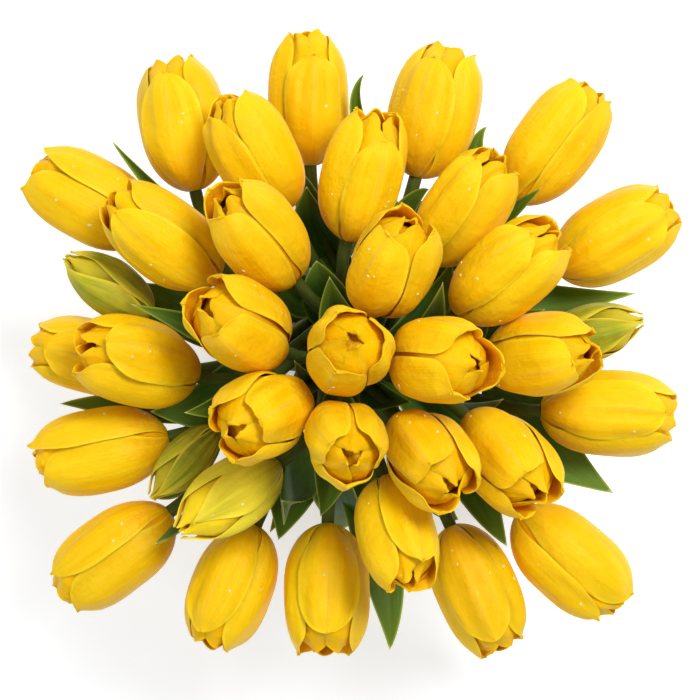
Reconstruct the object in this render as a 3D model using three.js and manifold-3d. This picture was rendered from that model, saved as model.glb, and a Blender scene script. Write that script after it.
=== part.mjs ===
// A hand-tied bunch of thirty-five yellow tulips, standing on its own cut stems.
// Millimetres, +Z up. The origin is on the surface that the bunch stands on, under the middle of its outline.
// The lists below are measured from the tie's axis, which CENTRING then moves.
import * as THREE from "three";
import { mergeVertices } from "three/addons/utils/BufferGeometryUtils.js";
import Module from "manifold-3d";

const wasm = await Module();
wasm.setup();

const CENTRING = [-1.4, 0.7, 0]; // from the tie's axis to the middle of the outline

// Stems: a spiral sheaf, narrowest at the tie
const STEM_RADIUS = 3.15;
const STEM_SIDES = 5;
const STEM_STEPS = 5; // above the waist, where a stem bends
const WAIST_HEIGHT = 108;
const SPIRAL = 0.035; // sideways slope of a stem at the waist, for each millimetre from the axis
const TWIST = 25; // degrees that a stem goes round the axis on its way from the waist to its bloom
const RISE = 0.45; // share of the span that a stem keeps its direction above the waist
const BEND = 0.35; // share of the span that it already points along its bloom
const SEAT_GAP = 0.3; // between a stem's top and its bloom
const RINGS = [
  { name: "stem_middle", radius: 0, stems: 1, together: 1 },
  { name: "stem_inner", radius: 7, stems: 6, together: 1 },
  { name: "stem_pair_second_ring", radius: 13.6, stems: 12, together: 2, spacing: 5.2 },
  { name: "stem_pair_outer", radius: 20.2, stems: 16, together: 2, spacing: 5.6 },
];

// Flowers: three closed inner petals under three outer ones, whose tips stand free
const WIDEST = 0.45; // share of the height where a flower is widest
const FOOT_SHARE = 0.01; // share of the height that its rounded foot is cut off at
const FOOT_CURVE = [2.4, 0.55]; // powers that round the outline below the widest place
const TIP_CURVE = 2.1; // power that draws it in above
const OUTER_TIP = [0.12, 0.75]; // the outline's radius at the top of the outer petals: closed, and added when open
const INNER_TIP = [0.05, 0.42]; // and of the inner ones
const INNER_SHARE = 0.915; // the inner petals' radius beside the outer ones'
const EDGE_SHARE = 0.955; // the radius at an outer petal's edges beside its middle
const EDGE_CURVE = 2.5; // power that draws it in toward them
const SIDE_HEIGHT = 0.5; // how far up an outer petal's sides reach beside its tip
const SIDE_CURVE = 0.4; // power that rounds the tip down to the sides
const SEAM_RISE = 0.02; // from one ring of points to the next in the seam between two outer petals
const RIM_DIP = 0.06; // how much lower the mouth's rim is in front of an outer petal
const PETAL_ROWS = [0, 0.14, 0.4, 0.72, 1]; // shares of the way up an outer petal
const PETAL_COLUMNS = [-1, -0.6, 0, 0.6, 1]; // shares of the way across it
const PETAL_HALF_ANGLE = 54;
const TIP_THICKNESS = [0.6, 1]; // where a petal stands free
const SIDE_THICKNESS = 0.2; // where its side lies on the inner petals
const POCKET_DEPTH = 0.15; // share of the height that an outer petal's tip stands free
const MOUTH_DEPTH = 0.16; // share of the height that the mouth is sunk

// Tie: a band of wound twine with a knot
const TIE_HEIGHT = 102;
const TIE_TURNS = 4;
const TIE_PITCH = 2.8;
const TIE_INSIDE = 25.4;
const TIE_SIDES = 16;
const TIE_GROOVE = 0.45; // depth of the ribs' feet beside their pitch
const KNOT_SIZE = [6, 3.2, 4.6];
const KNOT_SIDES = [7, 5];

// Leaves: folded blades that grow from a stem above the tie
const LEAF_THICKNESS = 0.7;
const LEAF_ROWS = [0, 0.3, 0.6, 0.85, 1]; // shares of the way along a leaf
const LEAF_START = 0.3; // share of its span that a leaf first follows its stem
const LEAF_TIP = 0.7; // width of the blunted point
const LEAF_ROOT = 0.12; // share of the outline that is left off where it leaves the stem
const LEAF_FULLNESS = 0.6; // power that fills the outline out: less is fuller

const UP = new THREE.Vector3(0, 0, 1);

const YELLOW = new THREE.MeshStandardMaterial({ color: 0xf8c70a, roughness: 0.45, metalness: 0 });
const LIME = new THREE.MeshStandardMaterial({ color: 0xc4c52a, roughness: 0.45, metalness: 0 });
const BUD_GREEN = new THREE.MeshStandardMaterial({ color: 0x9a9f2e, roughness: 0.5, metalness: 0 });
const STEM_GREEN = new THREE.MeshStandardMaterial({ color: 0x5c7428, roughness: 0.5, metalness: 0 });
const TWINE = new THREE.MeshStandardMaterial({ color: 0xb49a68, roughness: 0.9, metalness: 0 });

// Every flower in the bunch. at: its middle. heading, tilt: where its tip points, and how far that is from
// upright. roll: turn of its first outer petal from the side that it leans to. tips: how far up the height
// each outer petal reaches. open: how far the tips stand off.
const BLOOMS = [
  { name: "far_top_left", at: [-76, 100, 156], heading: 101, tilt: 86, length: 64, radius: 20.5, roll: 167,
    tips: [0.88, 0.98, 0.96], open: 0.35 },
  { name: "top", at: [-18, 112, 156], heading: 91, tilt: 86, length: 64, radius: 19, roll: -173,
    tips: [0.80, 0.95, 0.97], open: 0.30 },
  { name: "top_right", at: [39, 106, 158], heading: 75, tilt: 86, length: 65, radius: 21, roll: 160,
    tips: [0.86, 0.95, 0.98], open: 0.35 },
  { name: "far_top_right", at: [95, 91, 154], heading: 55, tilt: 88, length: 66, radius: 19, roll: -127,
    tips: [0.95, 0.90, 0.93], open: 0.40 },
  { name: "right_upper", at: [123, 48, 156], heading: 30, tilt: 86, length: 64, radius: 19.5, roll: -170,
    tips: [0.88, 0.97, 0.95], open: 0.35 },
  { name: "left_upper", at: [-119, 65, 152], heading: 152, tilt: 86, length: 65, radius: 20, roll: 120,
    tips: [0.97, 0.95, 0.96], open: 0.45 },
  { name: "upper_left", at: [-42, 84, 188], heading: 119, tilt: 70, length: 62, radius: 19, roll: 130,
    tips: [0.92, 0.95, 0.97], open: 0.35 },
  { name: "upper", at: [7, 74, 190], heading: 75, tilt: 70, length: 63, radius: 19, roll: -157,
    tips: [0.84, 0.97, 0.95], open: 0.45 },
  { name: "upper_right", at: [52, 60, 183], heading: 55, tilt: 70, length: 62, radius: 18.5, roll: 145,
    tips: [0.90, 0.95, 0.95], open: 0.40 },
  { name: "right_of_upper", at: [70, 31, 201], heading: 40, tilt: 65, length: 63, radius: 19, roll: 150,
    tips: [0.90, 0.96, 0.96], open: 0.45 },
  { name: "left_of_upper", at: [-83, 46, 184], heading: 142, tilt: 72, length: 64, radius: 19.5, roll: 160,
    tips: [0.93, 0.95, 0.97], open: 0.40 },
  { name: "inner_upper_left", at: [-40, 46, 215], heading: 130, tilt: 52, length: 62, radius: 19.3, roll: 134,
    tips: [0.92, 0.97, 0.95], open: 0.45 },
  { name: "inner_upper", at: [19, 33, 228], heading: 66, tilt: 45, length: 60, radius: 19, roll: 153,
    tips: [0.90, 0.96, 0.92], open: 0.45 },
  { name: "green_bud_left", at: [-110, 26, 160], heading: 145, tilt: 84, length: 50, radius: 13, roll: 120,
    tips: [0.98, 0.96, 0.98], open: 0.05, colour: BUD_GREEN },
  { name: "left_low", at: [-118, -7, 146], heading: 170, tilt: 88, length: 62, radius: 18, roll: -180,
    tips: [0.86, 0.96, 0.96], open: 0.45 },
  { name: "left", at: [-95, -9, 184], heading: 165, tilt: 63, length: 62, radius: 20, roll: -155,
    tips: [0.86, 0.95, 0.95], open: 0.55 },
  { name: "inner_left", at: [-47, 7, 225], heading: 148, tilt: 40, length: 60, radius: 19.3, roll: 147,
    tips: [0.88, 0.94, 0.92], open: 0.60 },
  { name: "crown", at: [0, -5, 247], heading: 67, tilt: 13, length: 58, radius: 18.5, roll: 172,
    tips: [0.90, 0.90, 0.92], open: 0.65 },
  { name: "inner_right", at: [40, -9, 234], heading: -5, tilt: 36, length: 58, radius: 19, roll: -125,
    tips: [0.88, 0.95, 0.90], open: 0.75 },
  { name: "right", at: [86, -7, 196], heading: 6, tilt: 52, length: 60, radius: 19, roll: -155,
    tips: [0.90, 0.92, 0.95], open: 0.40 },
  { name: "green_bud_right", at: [113, 4, 158], heading: 15, tilt: 85, length: 50, radius: 13.5, roll: -172,
    tips: [0.96, 0.96, 0.98], open: 0.05, colour: BUD_GREEN },
  { name: "far_right", at: [120, -33, 158], heading: -2, tilt: 88, length: 65, radius: 20, roll: 172,
    tips: [0.88, 0.95, 0.98], open: 0.40 },
  { name: "left_lower", at: [-114, -50, 156], heading: 191, tilt: 88, length: 65, radius: 19.5, roll: 120,
    tips: [0.93, 1.00, 0.95], open: 0.40 },
  { name: "inner_lower_left", at: [-37, -32, 234], heading: 209, tilt: 32, length: 58, radius: 19, roll: 176,
    tips: [0.90, 0.90, 0.90], open: 0.55 },
  { name: "crown_lower", at: [-1, -43, 246], heading: -67, tilt: 17, length: 56, radius: 17.7, roll: -150,
    tips: [0.92, 0.86, 0.92], open: 0.50 },
  { name: "inner_lower_right", at: [35, -51, 225], heading: -52, tilt: 35, length: 60, radius: 19, roll: -175,
    tips: [0.88, 0.92, 0.94], open: 0.60 },
  { name: "lower_right", at: [70, -53, 199], heading: -48, tilt: 48, length: 62, radius: 19.5, roll: 170,
    tips: [0.88, 0.93, 0.97], open: 0.60 },
  { name: "green_bud_lower_left", at: [-75, -56, 167], heading: 226, tilt: 84, length: 46, radius: 11, roll: 160,
    tips: [0.98, 0.97, 0.97], open: 0.05, colour: BUD_GREEN },
  { name: "lime_bud_lower_left", at: [-54, -70, 196], heading: 214, tilt: 74, length: 58, radius: 16, roll: -180,
    tips: [0.86, 0.97, 0.97], open: 0.12, colour: LIME },
  { name: "far_lower_left", at: [-108, -98, 156], heading: 217, tilt: 88, length: 66, radius: 19.5, roll: -131,
    tips: [0.92, 0.98, 0.94], open: 0.35 },
  { name: "bottom_left", at: [-54, -113, 158], heading: 248, tilt: 80, length: 62, radius: 19, roll: -160,
    tips: [0.90, 0.96, 0.96], open: 0.30 },
  { name: "bottom", at: [-10, -114, 160], heading: 269, tilt: 80, length: 62, radius: 20, roll: 175,
    tips: [0.84, 0.98, 0.98], open: 0.60 },
  { name: "lower", at: [22, -85, 206], heading: -75, tilt: 58, length: 58, radius: 18, roll: 150,
    tips: [0.88, 0.95, 0.92], open: 0.50 },
  { name: "bottom_right", at: [59, -114, 158], heading: -67, tilt: 84, length: 64, radius: 19, roll: -173,
    tips: [0.88, 0.98, 0.96], open: 0.45 },
  { name: "far_bottom_right", at: [102, -101, 156], heading: -42, tilt: 88, length: 66, radius: 20, roll: 120,
    tips: [0.98, 0.92, 0.94], open: 0.30 },
];

// Every leaf. stem: the flower whose stem it grows on. from: how far up that stem, above the waist. bend: the
// point that draws its middle line aside. fold: how far its halves rise from flat. turn: its roll about the line.
const LEAVES = [
  { stem: "far_top_left", from: 0.50, width: 12, fold: 25, turn: 50,
    bend: [-84, 65, 160], tip: [-106, 89, 173] },
  { stem: "top", from: 0.25, width: 15, fold: 20, turn: 0,
    bend: [-23, 72, 162], tip: [-22, 77, 164] },
  { stem: "top", from: 0.30, width: 27, fold: 25, turn: 25,
    bend: [-16, 52, 163], tip: [-19, 69, 172] },
  { stem: "top_right", from: 0.60, width: 11, fold: 30, turn: 0,
    bend: [-7, 103, 165], tip: [7, 119, 180] },
  { stem: "far_top_right", from: 0.35, width: 13, fold: 30, turn: 0,
    bend: [68, 54, 163], tip: [86, 68, 180] },
  { stem: "far_top_right", from: 0.60, width: 13, fold: 30, turn: 0,
    bend: [50, 88, 147], tip: [64, 99, 143] },
  { stem: "right_upper", from: 0.35, width: 24, fold: 15, turn: 0,
    bend: [64, 14, 126], tip: [133, 22, 141] },
  { stem: "upper_left", from: 0.25, width: 19, fold: 15, turn: 0,
    bend: [-20, 6, 151], tip: [-36, 32, 186] },
  { stem: "upper", from: 0.10, width: 15, fold: 20, turn: 0,
    bend: [26, 67, 164], tip: [36, 68, 171] },
  { stem: "right_of_upper", from: 0.45, width: 15, fold: 25, turn: 0,
    bend: [37, 3, 200], tip: [40, 24, 232] },
  { stem: "inner_upper_left", from: 0.25, width: 24, fold: 15, turn: 0,
    bend: [-13, 24, 190], tip: [-14, 35, 193] },
  { stem: "inner_upper", from: 0.50, width: 25, fold: 35, turn: -5,
    bend: [-8, 9, 206], tip: [-8, 27, 220] },
  { stem: "green_bud_left", from: 0.40, width: 26, fold: 12, turn: 0,
    bend: [-79, 13, 135], tip: [-98, 27, 143] },
  { stem: "green_bud_left", from: 0.55, width: 12, fold: 15, turn: 0,
    bend: [-65, 6, 152], tip: [-96, 16, 185] },
  { stem: "left", from: 0.45, width: 18, fold: 35, turn: 0,
    bend: [-51, -30, 208], tip: [-70, -31, 222] },
  { stem: "left", from: 0.50, width: 28, fold: 12, turn: 0,
    bend: [-58, -34, 146], tip: [-89, -32, 168] },
  { stem: "right", from: 0.15, width: 20, fold: 15, turn: 0,
    bend: [41, 11, 154], tip: [47, 36, 160] },
  { stem: "right", from: 0.35, width: 19, fold: 15, turn: 0,
    bend: [55, -5, 144], tip: [63, 10, 178] },
  { stem: "green_bud_right", from: 0.40, width: 11, fold: 20, turn: 0,
    bend: [76, 10, 168], tip: [88, 14, 173] },
  { stem: "far_right", from: 0.30, width: 20, fold: 25, turn: -5,
    bend: [46, -41, 122], tip: [68, -26, 192] },
  { stem: "far_right", from: 0.70, width: 36, fold: 15, turn: 25,
    bend: [79, -47, 129], tip: [122, -70, 145] },
  { stem: "left_lower", from: 0.45, width: 16, fold: 20, turn: 0,
    bend: [-106, -28, 119], tip: [-133, -29, 142] },
  { stem: "left_lower", from: 0.60, width: 11, fold: 20, turn: 0,
    bend: [-70, -74, 148], tip: [-91, -72, 141] },
  { stem: "inner_lower_left", from: 0.50, width: 14, fold: 35, turn: 0,
    bend: [-17, -22, 200], tip: [-23, -9, 222] },
  { stem: "crown_lower", from: 0.75, width: 24, fold: 40, turn: 0,
    bend: [-6, -62, 200], tip: [-12, -76, 212] },
  { stem: "inner_lower_right", from: 0.40, width: 20, fold: 40, turn: 0,
    bend: [13, -25, 188], tip: [27, -27, 200] },
  { stem: "lower_right", from: 0.35, width: 22, fold: 20, turn: 0,
    bend: [60, -75, 152], tip: [71, -92, 172] },
  { stem: "far_lower_left", from: 0.55, width: 14, fold: 25, turn: 0,
    bend: [-83, -91, 162], tip: [-84, -89, 200] },
  { stem: "bottom_left", from: 0.15, width: 16, fold: 15, turn: -5,
    bend: [-23, -67, 118], tip: [-37, -90, 121] },
  { stem: "bottom_left", from: 0.35, width: 30, fold: 12, turn: 5,
    bend: [-25, -66, 127], tip: [-32, -91, 150] },
  { stem: "bottom_left", from: 0.50, width: 27, fold: 20, turn: 0,
    bend: [-17, -83, 175], tip: [-29, -70, 202] },
  { stem: "bottom", from: 0.20, width: 24, fold: 15, turn: 0,
    bend: [22, -114, 120], tip: [19, -142, 147] },
  { stem: "bottom", from: 0.70, width: 22, fold: 15, turn: 15,
    bend: [1, -76, 142], tip: [-6, -90, 115] },
  { stem: "bottom_right", from: 0.35, width: 17, fold: 20, turn: 0,
    bend: [38, -78, 143], tip: [51, -83, 134] },
];

const radians = THREE.MathUtils.degToRad;

// The closed solid between two faces of points in rows and columns, alike triangle for triangle
function blade(front, back) {
  const rows = front.length;
  const columns = front[0].length;
  const points = [...front.flat(), ...back.flat()];
  const faces = [];
  const at = (side, row, column) => side * rows * columns + row * columns + column;
  const quad = (a, b, c, d) => faces.push(a, b, c, a, c, d);
  for (let r = 0; r + 1 < rows; r++) {
    for (let c = 0; c + 1 < columns; c++) {
      quad(at(0, r, c), at(0, r, c + 1), at(0, r + 1, c + 1), at(0, r + 1, c));
      faces.push(at(1, r, c), at(1, r + 1, c + 1), at(1, r, c + 1));
      faces.push(at(1, r, c), at(1, r + 1, c), at(1, r + 1, c + 1));
    }
  }
  const last = columns - 1;
  for (let r = 0; r + 1 < rows; r++) {
    quad(at(0, r, 0), at(0, r + 1, 0), at(1, r + 1, 0), at(1, r, 0));
    quad(at(0, r + 1, last), at(0, r, last), at(1, r, last), at(1, r + 1, last));
  }
  for (let c = 0; c < last; c++) {
    quad(at(0, 0, c + 1), at(0, 0, c), at(1, 0, c), at(1, 0, c + 1));
    quad(at(0, rows - 1, c), at(0, rows - 1, c + 1), at(1, rows - 1, c + 1), at(1, rows - 1, c));
  }
  return meshOf(points, faces);
}

// The closed solid through a row of rings, with a point in the middle of each end
function loft(rings, firstMiddle, lastMiddle) {
  const columns = rings[0].length;
  const points = [...rings.flat(), firstMiddle, lastMiddle];
  const faces = [];
  for (let r = 0; r + 1 < rings.length; r++) {
    for (let c = 0; c < columns; c++) {
      const a = r * columns + c;
      const b = r * columns + ((c + 1) % columns);
      faces.push(a, b, b + columns, a, b + columns, a + columns);
    }
  }
  const top = (rings.length - 1) * columns;
  for (let c = 0; c < columns; c++) {
    const next = (c + 1) % columns;
    faces.push(next, c, points.length - 2);
    faces.push(top + c, top + next, points.length - 1);
  }
  return meshOf(points, faces);
}

function meshOf(points, faces) {
  const geometry = new THREE.BufferGeometry().setFromPoints(points);
  geometry.setIndex(faces);
  return geometry;
}

function solidOf(geometry) {
  const merged = mergeVertices(geometry, 1e-4);
  const mesh = new wasm.Mesh({
    numProp: 3,
    vertProperties: new Float32Array(merged.attributes.position.array),
    triVerts: new Uint32Array(merged.index.array),
  });
  return new wasm.Manifold(mesh);
}

function geometryOf(solid) {
  const mesh = solid.getMesh();
  const geometry = new THREE.BufferGeometry();
  geometry.setAttribute("position", new THREE.BufferAttribute(mesh.vertProperties, 3));
  geometry.setIndex(new THREE.BufferAttribute(mesh.triVerts, 1));
  return geometry;
}

function fuse(geometries) {
  return geometryOf(geometries.map(solidOf).reduce((whole, piece) => whole.add(piece)));
}

// Where a flower stands: x to the side that it leans to, z along it, origin at its foot
function bloomFrame(bloom) {
  const heading = radians(bloom.heading);
  const tilt = radians(bloom.tilt);
  const along = new THREE.Vector3(
    Math.cos(heading) * Math.sin(tilt),
    Math.sin(heading) * Math.sin(tilt),
    Math.cos(tilt),
  );
  const across = new THREE.Vector3(-Math.sin(heading), Math.cos(heading), 0);
  const leaning = new THREE.Vector3().crossVectors(across, along);
  const foot = new THREE.Vector3(...bloom.at).addScaledVector(along, -bloom.length / 2);
  return { along, foot, matrix: new THREE.Matrix4().makeBasis(leaning, across, along).setPosition(foot) };
}

// Radius of the flower's outline at a share of its height, beside its greatest
function outline(share, tipShare) {
  if (share < WIDEST) {
    return (1 - ((WIDEST - share) / (WIDEST + FOOT_SHARE)) ** FOOT_CURVE[0]) ** FOOT_CURVE[1];
  }
  return 1 - (1 - tipShare) * ((share - WIDEST) / (1 - WIDEST)) ** TIP_CURVE;
}

function roundPoint(radius, angle, height) {
  return new THREE.Vector3(radius * Math.cos(angle), radius * Math.sin(angle), height);
}

// How far up an outer petal its edge is, for a place across it
function edgeShare(across) {
  return SIDE_HEIGHT + (1 - SIDE_HEIGHT) * (1 - across ** 2) ** SIDE_CURVE;
}

// One line of points up the flower, from its foot to the mouth: up an outer petal, over its edge, down into
// the pocket behind it and up the inner petals. In the seam between two outer petals it has no petal on it.
function flowerLine(bloom, across, angle, tip) {
  const seam = Math.abs(across) > 1;
  const outerTip = OUTER_TIP[0] + OUTER_TIP[1] * bloom.open;
  const innerTip = INNER_TIP[0] + INNER_TIP[1] * bloom.open;
  const inner = (height) => bloom.radius * INNER_SHARE * outline(height, innerTip);
  const hug = 1 - (1 - EDGE_SHARE) * Math.abs(across) ** EDGE_CURVE;
  const outer = (height) => (seam ? inner(height) : bloom.radius * hug * outline(height, outerTip));
  const at = (radius, height) => roundPoint(radius, angle, bloom.length * height);
  const side = Math.min(Math.abs(across), 1);
  const edge = tip * edgeShare(side);
  const line = PETAL_ROWS.map((share) => at(outer(share * edge), share * edge));
  if (seam) {
    const above = edge + SEAM_RISE;
    line.push(at(inner(above), above), at(inner(above + SEAM_RISE), above + SEAM_RISE));
  } else {
    const freedom = (edge / tip - SIDE_HEIGHT) / (1 - SIDE_HEIGHT);
    const least = freedom > 0 ? TIP_THICKNESS[0] : SIDE_THICKNESS;
    const thickness = THREE.MathUtils.clamp((outer(edge) - inner(edge)) / 2, least, TIP_THICKNESS[1]);
    const floor = edge - POCKET_DEPTH * freedom;
    line.push(at(outer(edge) - thickness, edge), at(inner(floor), floor));
  }
  const rim = 1 - RIM_DIP * (1 - side ** 2);
  line.push(at(inner(rim), rim));
  return line;
}

function bloomSolid(bloom) {
  const lines = [];
  bloom.tips.forEach((tip, index) => {
    const middle = radians(bloom.roll + 120 * index);
    for (const across of PETAL_COLUMNS) {
      lines.push(flowerLine(bloom, across, middle + radians(across * PETAL_HALF_ANGLE), tip));
    }
    const seamTip = (tip + bloom.tips[(index + 1) % bloom.tips.length]) / 2;
    lines.push(flowerLine(bloom, 60 / PETAL_HALF_ANGLE, middle + radians(60), seamTip));
  });
  const rings = lines[0].map((_, row) => lines.map((line) => line[row]));
  const mouth = new THREE.Vector3(0, 0, bloom.length * (1 - MOUTH_DEPTH));
  return loft(rings, new THREE.Vector3(0, 0, 0), mouth);
}

function bloomMesh(bloom) {
  const geometry = bloomSolid(bloom).applyMatrix4(bloomFrame(bloom).matrix);
  const mesh = new THREE.Mesh(geometry, bloom.colour ?? YELLOW);
  mesh.name = `bloom_${bloom.name}`;
  return mesh;
}

// Gives each bloom its place among the stems at the waist: the nearest blooms take the inner rings,
// and round each ring the stems keep the order of their blooms
function placeStems() {
  const footOf = new Map(BLOOMS.map((bloom) => [bloom, bloomFrame(bloom).foot]));
  const reach = (bloom) => Math.hypot(footOf.get(bloom).x, footOf.get(bloom).y);
  const bearing = (bloom) => {
    const angle = Math.atan2(footOf.get(bloom).y, footOf.get(bloom).x) - radians(TWIST);
    return THREE.MathUtils.euclideanModulo(angle, 2 * Math.PI);
  };
  const nearestFirst = [...BLOOMS].sort((a, b) => reach(a) - reach(b));
  return RINGS.map((ring) => {
    const blooms = nearestFirst.splice(0, ring.stems).sort((a, b) => bearing(a) - bearing(b));
    return { ...ring, stems: blooms.map((bloom, place) => ({ bloom, waist: waistPoint(ring, place) })) };
  });
}

function waistPoint(ring, place) {
  const groups = ring.stems / ring.together;
  const group = Math.floor(place / ring.together);
  const middle = (2 * Math.PI * (group + (ring.together - 1) / 4)) / groups;
  const half = ring.together === 1 ? 0 : Math.asin(ring.spacing / 2 / ring.radius);
  const side = ring.together === 1 ? 0 : (place % 2) * 2 - 1;
  return roundPoint(ring.radius, middle + side * half, WAIST_HEIGHT);
}

// The middle line of a stem: straight up to the waist, then bent over to its bloom
function stemLine(stem) {
  const { waist, bloom } = stem;
  const { along, foot } = bloomFrame(bloom);
  const slope = new THREE.Vector3(-SPIRAL * waist.y, SPIRAL * waist.x, 1);
  const ground = waist.clone().addScaledVector(slope, -WAIST_HEIGHT);
  const top = foot.clone().addScaledVector(along, -SEAT_GAP);
  const span = top.distanceTo(waist);
  const direction = slope.clone().normalize();
  const upper = new THREE.CubicBezierCurve3(
    waist,
    waist.clone().addScaledVector(direction, RISE * span),
    top.clone().addScaledVector(along, -BEND * span),
    top,
  );
  return { ground, direction, upper };
}

function stemSolid(stem) {
  const { ground, direction, upper } = stemLine(stem);
  const rings = [];
  let side = new THREE.Vector3(1, 0, 0);
  const ring = (middle, tangent) => {
    side = side.clone().addScaledVector(tangent, -side.dot(tangent)).normalize();
    const other = new THREE.Vector3().crossVectors(tangent, side);
    return Array.from({ length: STEM_SIDES }, (_, index) => {
      const angle = (2 * Math.PI * index) / STEM_SIDES;
      return middle
        .clone()
        .addScaledVector(side, STEM_RADIUS * Math.cos(angle))
        .addScaledVector(other, STEM_RADIUS * Math.sin(angle));
    });
  };
  const foot = ring(ground, direction);
  foot.forEach((point) => point.addScaledVector(direction, -point.z / direction.z));
  rings.push(foot);
  for (let step = 0; step <= STEM_STEPS; step++) {
    const share = step / STEM_STEPS;
    rings.push(ring(upper.getPoint(share), upper.getTangent(share)));
  }
  return loft(rings, ground, upper.getPoint(1));
}

// A pointed blade, narrow where it leaves the stem, with its halves folded up along the midrib
function leafSolid(leaf, upper) {
  const root = upper.getPoint(leaf.from);
  const tip = new THREE.Vector3(...leaf.tip);
  const start = root.clone().addScaledVector(upper.getTangent(leaf.from), LEAF_START * root.distanceTo(tip));
  const midrib = new THREE.CubicBezierCurve3(root, start, new THREE.Vector3(...leaf.bend), tip);
  const fold = radians(leaf.fold);
  const front = [];
  const back = [];
  for (const share of LEAF_ROWS) {
    const along = midrib.getTangent(share);
    const side = new THREE.Vector3().crossVectors(along, UP).normalize();
    side.applyAxisAngle(along, -radians(leaf.turn));
    const face = new THREE.Vector3().crossVectors(side, along);
    const swell = Math.sin(Math.PI * (LEAF_ROOT + (1 - LEAF_ROOT) * share)) ** LEAF_FULLNESS;
    const half = Math.max((leaf.width / 2) * swell, LEAF_TIP / 2);
    const at = (across, down) =>
      midrib
        .getPoint(share)
        .addScaledVector(side, across * half * Math.cos(fold))
        .addScaledVector(face, Math.abs(across) * half * Math.sin(fold) - down * LEAF_THICKNESS);
    front.push([at(-1, 0), at(0, 0), at(1, 0)]);
    back.push([at(-1, 1), at(0, 1), at(1, 1)]);
  }
  return blade(front, back);
}

function leafyStemSolids(stem) {
  const { upper } = stemLine(stem);
  const leaves = LEAVES.filter((leaf) => leaf.stem === stem.bloom.name);
  return [stemSolid(stem), ...leaves.map((leaf) => leafSolid(leaf, upper))];
}

function stemMeshes() {
  const meshes = [];
  for (const ring of placeStems()) {
    for (let first = 0; first < ring.stems.length; first += ring.together) {
      const group = ring.stems.slice(first, first + ring.together);
      const mesh = new THREE.Mesh(fuse(group.flatMap(leafyStemSolids)), STEM_GREEN);
      mesh.name = ring.stems.length === 1 ? ring.name : `${ring.name}_${first / ring.together + 1}`;
      meshes.push(mesh);
    }
  }
  return meshes;
}

// Wound twine round the waist, one closed ring with a rib for each turn, and its knot
function tieMesh() {
  const low = TIE_HEIGHT - (TIE_TURNS * TIE_PITCH) / 2;
  const profile = [new THREE.Vector2(TIE_INSIDE, low)];
  for (let turn = 0; turn < TIE_TURNS; turn++) {
    const base = low + turn * TIE_PITCH;
    profile.push(new THREE.Vector2(TIE_INSIDE + TIE_PITCH * TIE_GROOVE, base));
    profile.push(new THREE.Vector2(TIE_INSIDE + TIE_PITCH, base + TIE_PITCH / 2));
  }
  profile.push(new THREE.Vector2(TIE_INSIDE + TIE_PITCH * TIE_GROOVE, low + TIE_TURNS * TIE_PITCH));
  profile.push(new THREE.Vector2(TIE_INSIDE, low + TIE_TURNS * TIE_PITCH));
  profile.push(profile[0].clone());
  const band = new THREE.LatheGeometry(profile, TIE_SIDES).rotateX(Math.PI / 2);
  const knot = new THREE.SphereGeometry(1, ...KNOT_SIDES).scale(...KNOT_SIZE);
  knot.translate(0, -TIE_INSIDE - KNOT_SIZE[1], TIE_HEIGHT);
  for (const geometry of [band, knot]) {
    geometry.deleteAttribute("normal");
    geometry.deleteAttribute("uv");
  }
  const mesh = new THREE.Mesh(fuse([band, knot]), TWINE);
  mesh.name = "twine_tie";
  return mesh;
}

const bunch = new THREE.Group();
bunch.name = "bunch_of_tulips";
bunch.position.set(...CENTRING);
bunch.add(...BLOOMS.map(bloomMesh), ...stemMeshes(), tieMesh());

export default bunch;
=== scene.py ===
"""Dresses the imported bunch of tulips: fine petals, leaves, stems and twine in place of the plain solids."""

import math

import bpy
import numpy as np
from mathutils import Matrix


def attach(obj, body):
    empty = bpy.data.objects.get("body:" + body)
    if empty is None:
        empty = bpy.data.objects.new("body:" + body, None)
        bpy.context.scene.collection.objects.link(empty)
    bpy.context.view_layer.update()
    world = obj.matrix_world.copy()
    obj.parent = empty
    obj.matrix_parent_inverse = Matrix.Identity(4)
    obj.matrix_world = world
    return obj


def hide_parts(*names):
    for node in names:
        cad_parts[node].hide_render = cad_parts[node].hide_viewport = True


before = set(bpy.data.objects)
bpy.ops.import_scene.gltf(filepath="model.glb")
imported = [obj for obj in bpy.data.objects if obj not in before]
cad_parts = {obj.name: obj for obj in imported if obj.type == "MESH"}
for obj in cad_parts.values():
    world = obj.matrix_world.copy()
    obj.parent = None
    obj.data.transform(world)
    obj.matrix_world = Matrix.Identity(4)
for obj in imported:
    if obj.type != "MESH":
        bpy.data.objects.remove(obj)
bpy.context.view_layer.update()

# Lengths are in millimetres and angles in degrees.
# A share runs from 0 at the foot of a flower, petal, stem or leaf to 1 at its top, and a place across a
# petal or leaf from -1 at one edge to 1 at the other. Where a size goes up or across one, its length or
# half width counts as 1. A span is where something begins and where it is complete.
SEED = 35
MM = 0.001
CENTRING = np.array([-1.4, 0.7, 0.0])  # from the tie's axis to the middle of the bunch's outline
ZERO_TO_ONE = (0.0, 1.0)
WHITE = (1, 1, 1, 1)

# Camera, straight above the bunch
CAMERA_AT = (-0.7, -3.5, 1250.0)
SENSOR = 36
PICTURE_WIDTH = 700
FOCAL_WIDTH = 2400  # the lens's focal length, counted in the picture's points
FARTHEST_SEEN = 100  # metres

# A flower's outline: its radius up its height, beside its greatest
WIDEST = 0.45
FOOT_SHARE = 0.01  # how far under the foot it would come to a point
FOOT_CURVE = (2.4, 0.55)
TIP_CURVE = 3.2
BUD_TIP_CURVE = 2.0
OUTER_TIP = (0.12, 0.75)  # at the top: closed, and added when open

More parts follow.
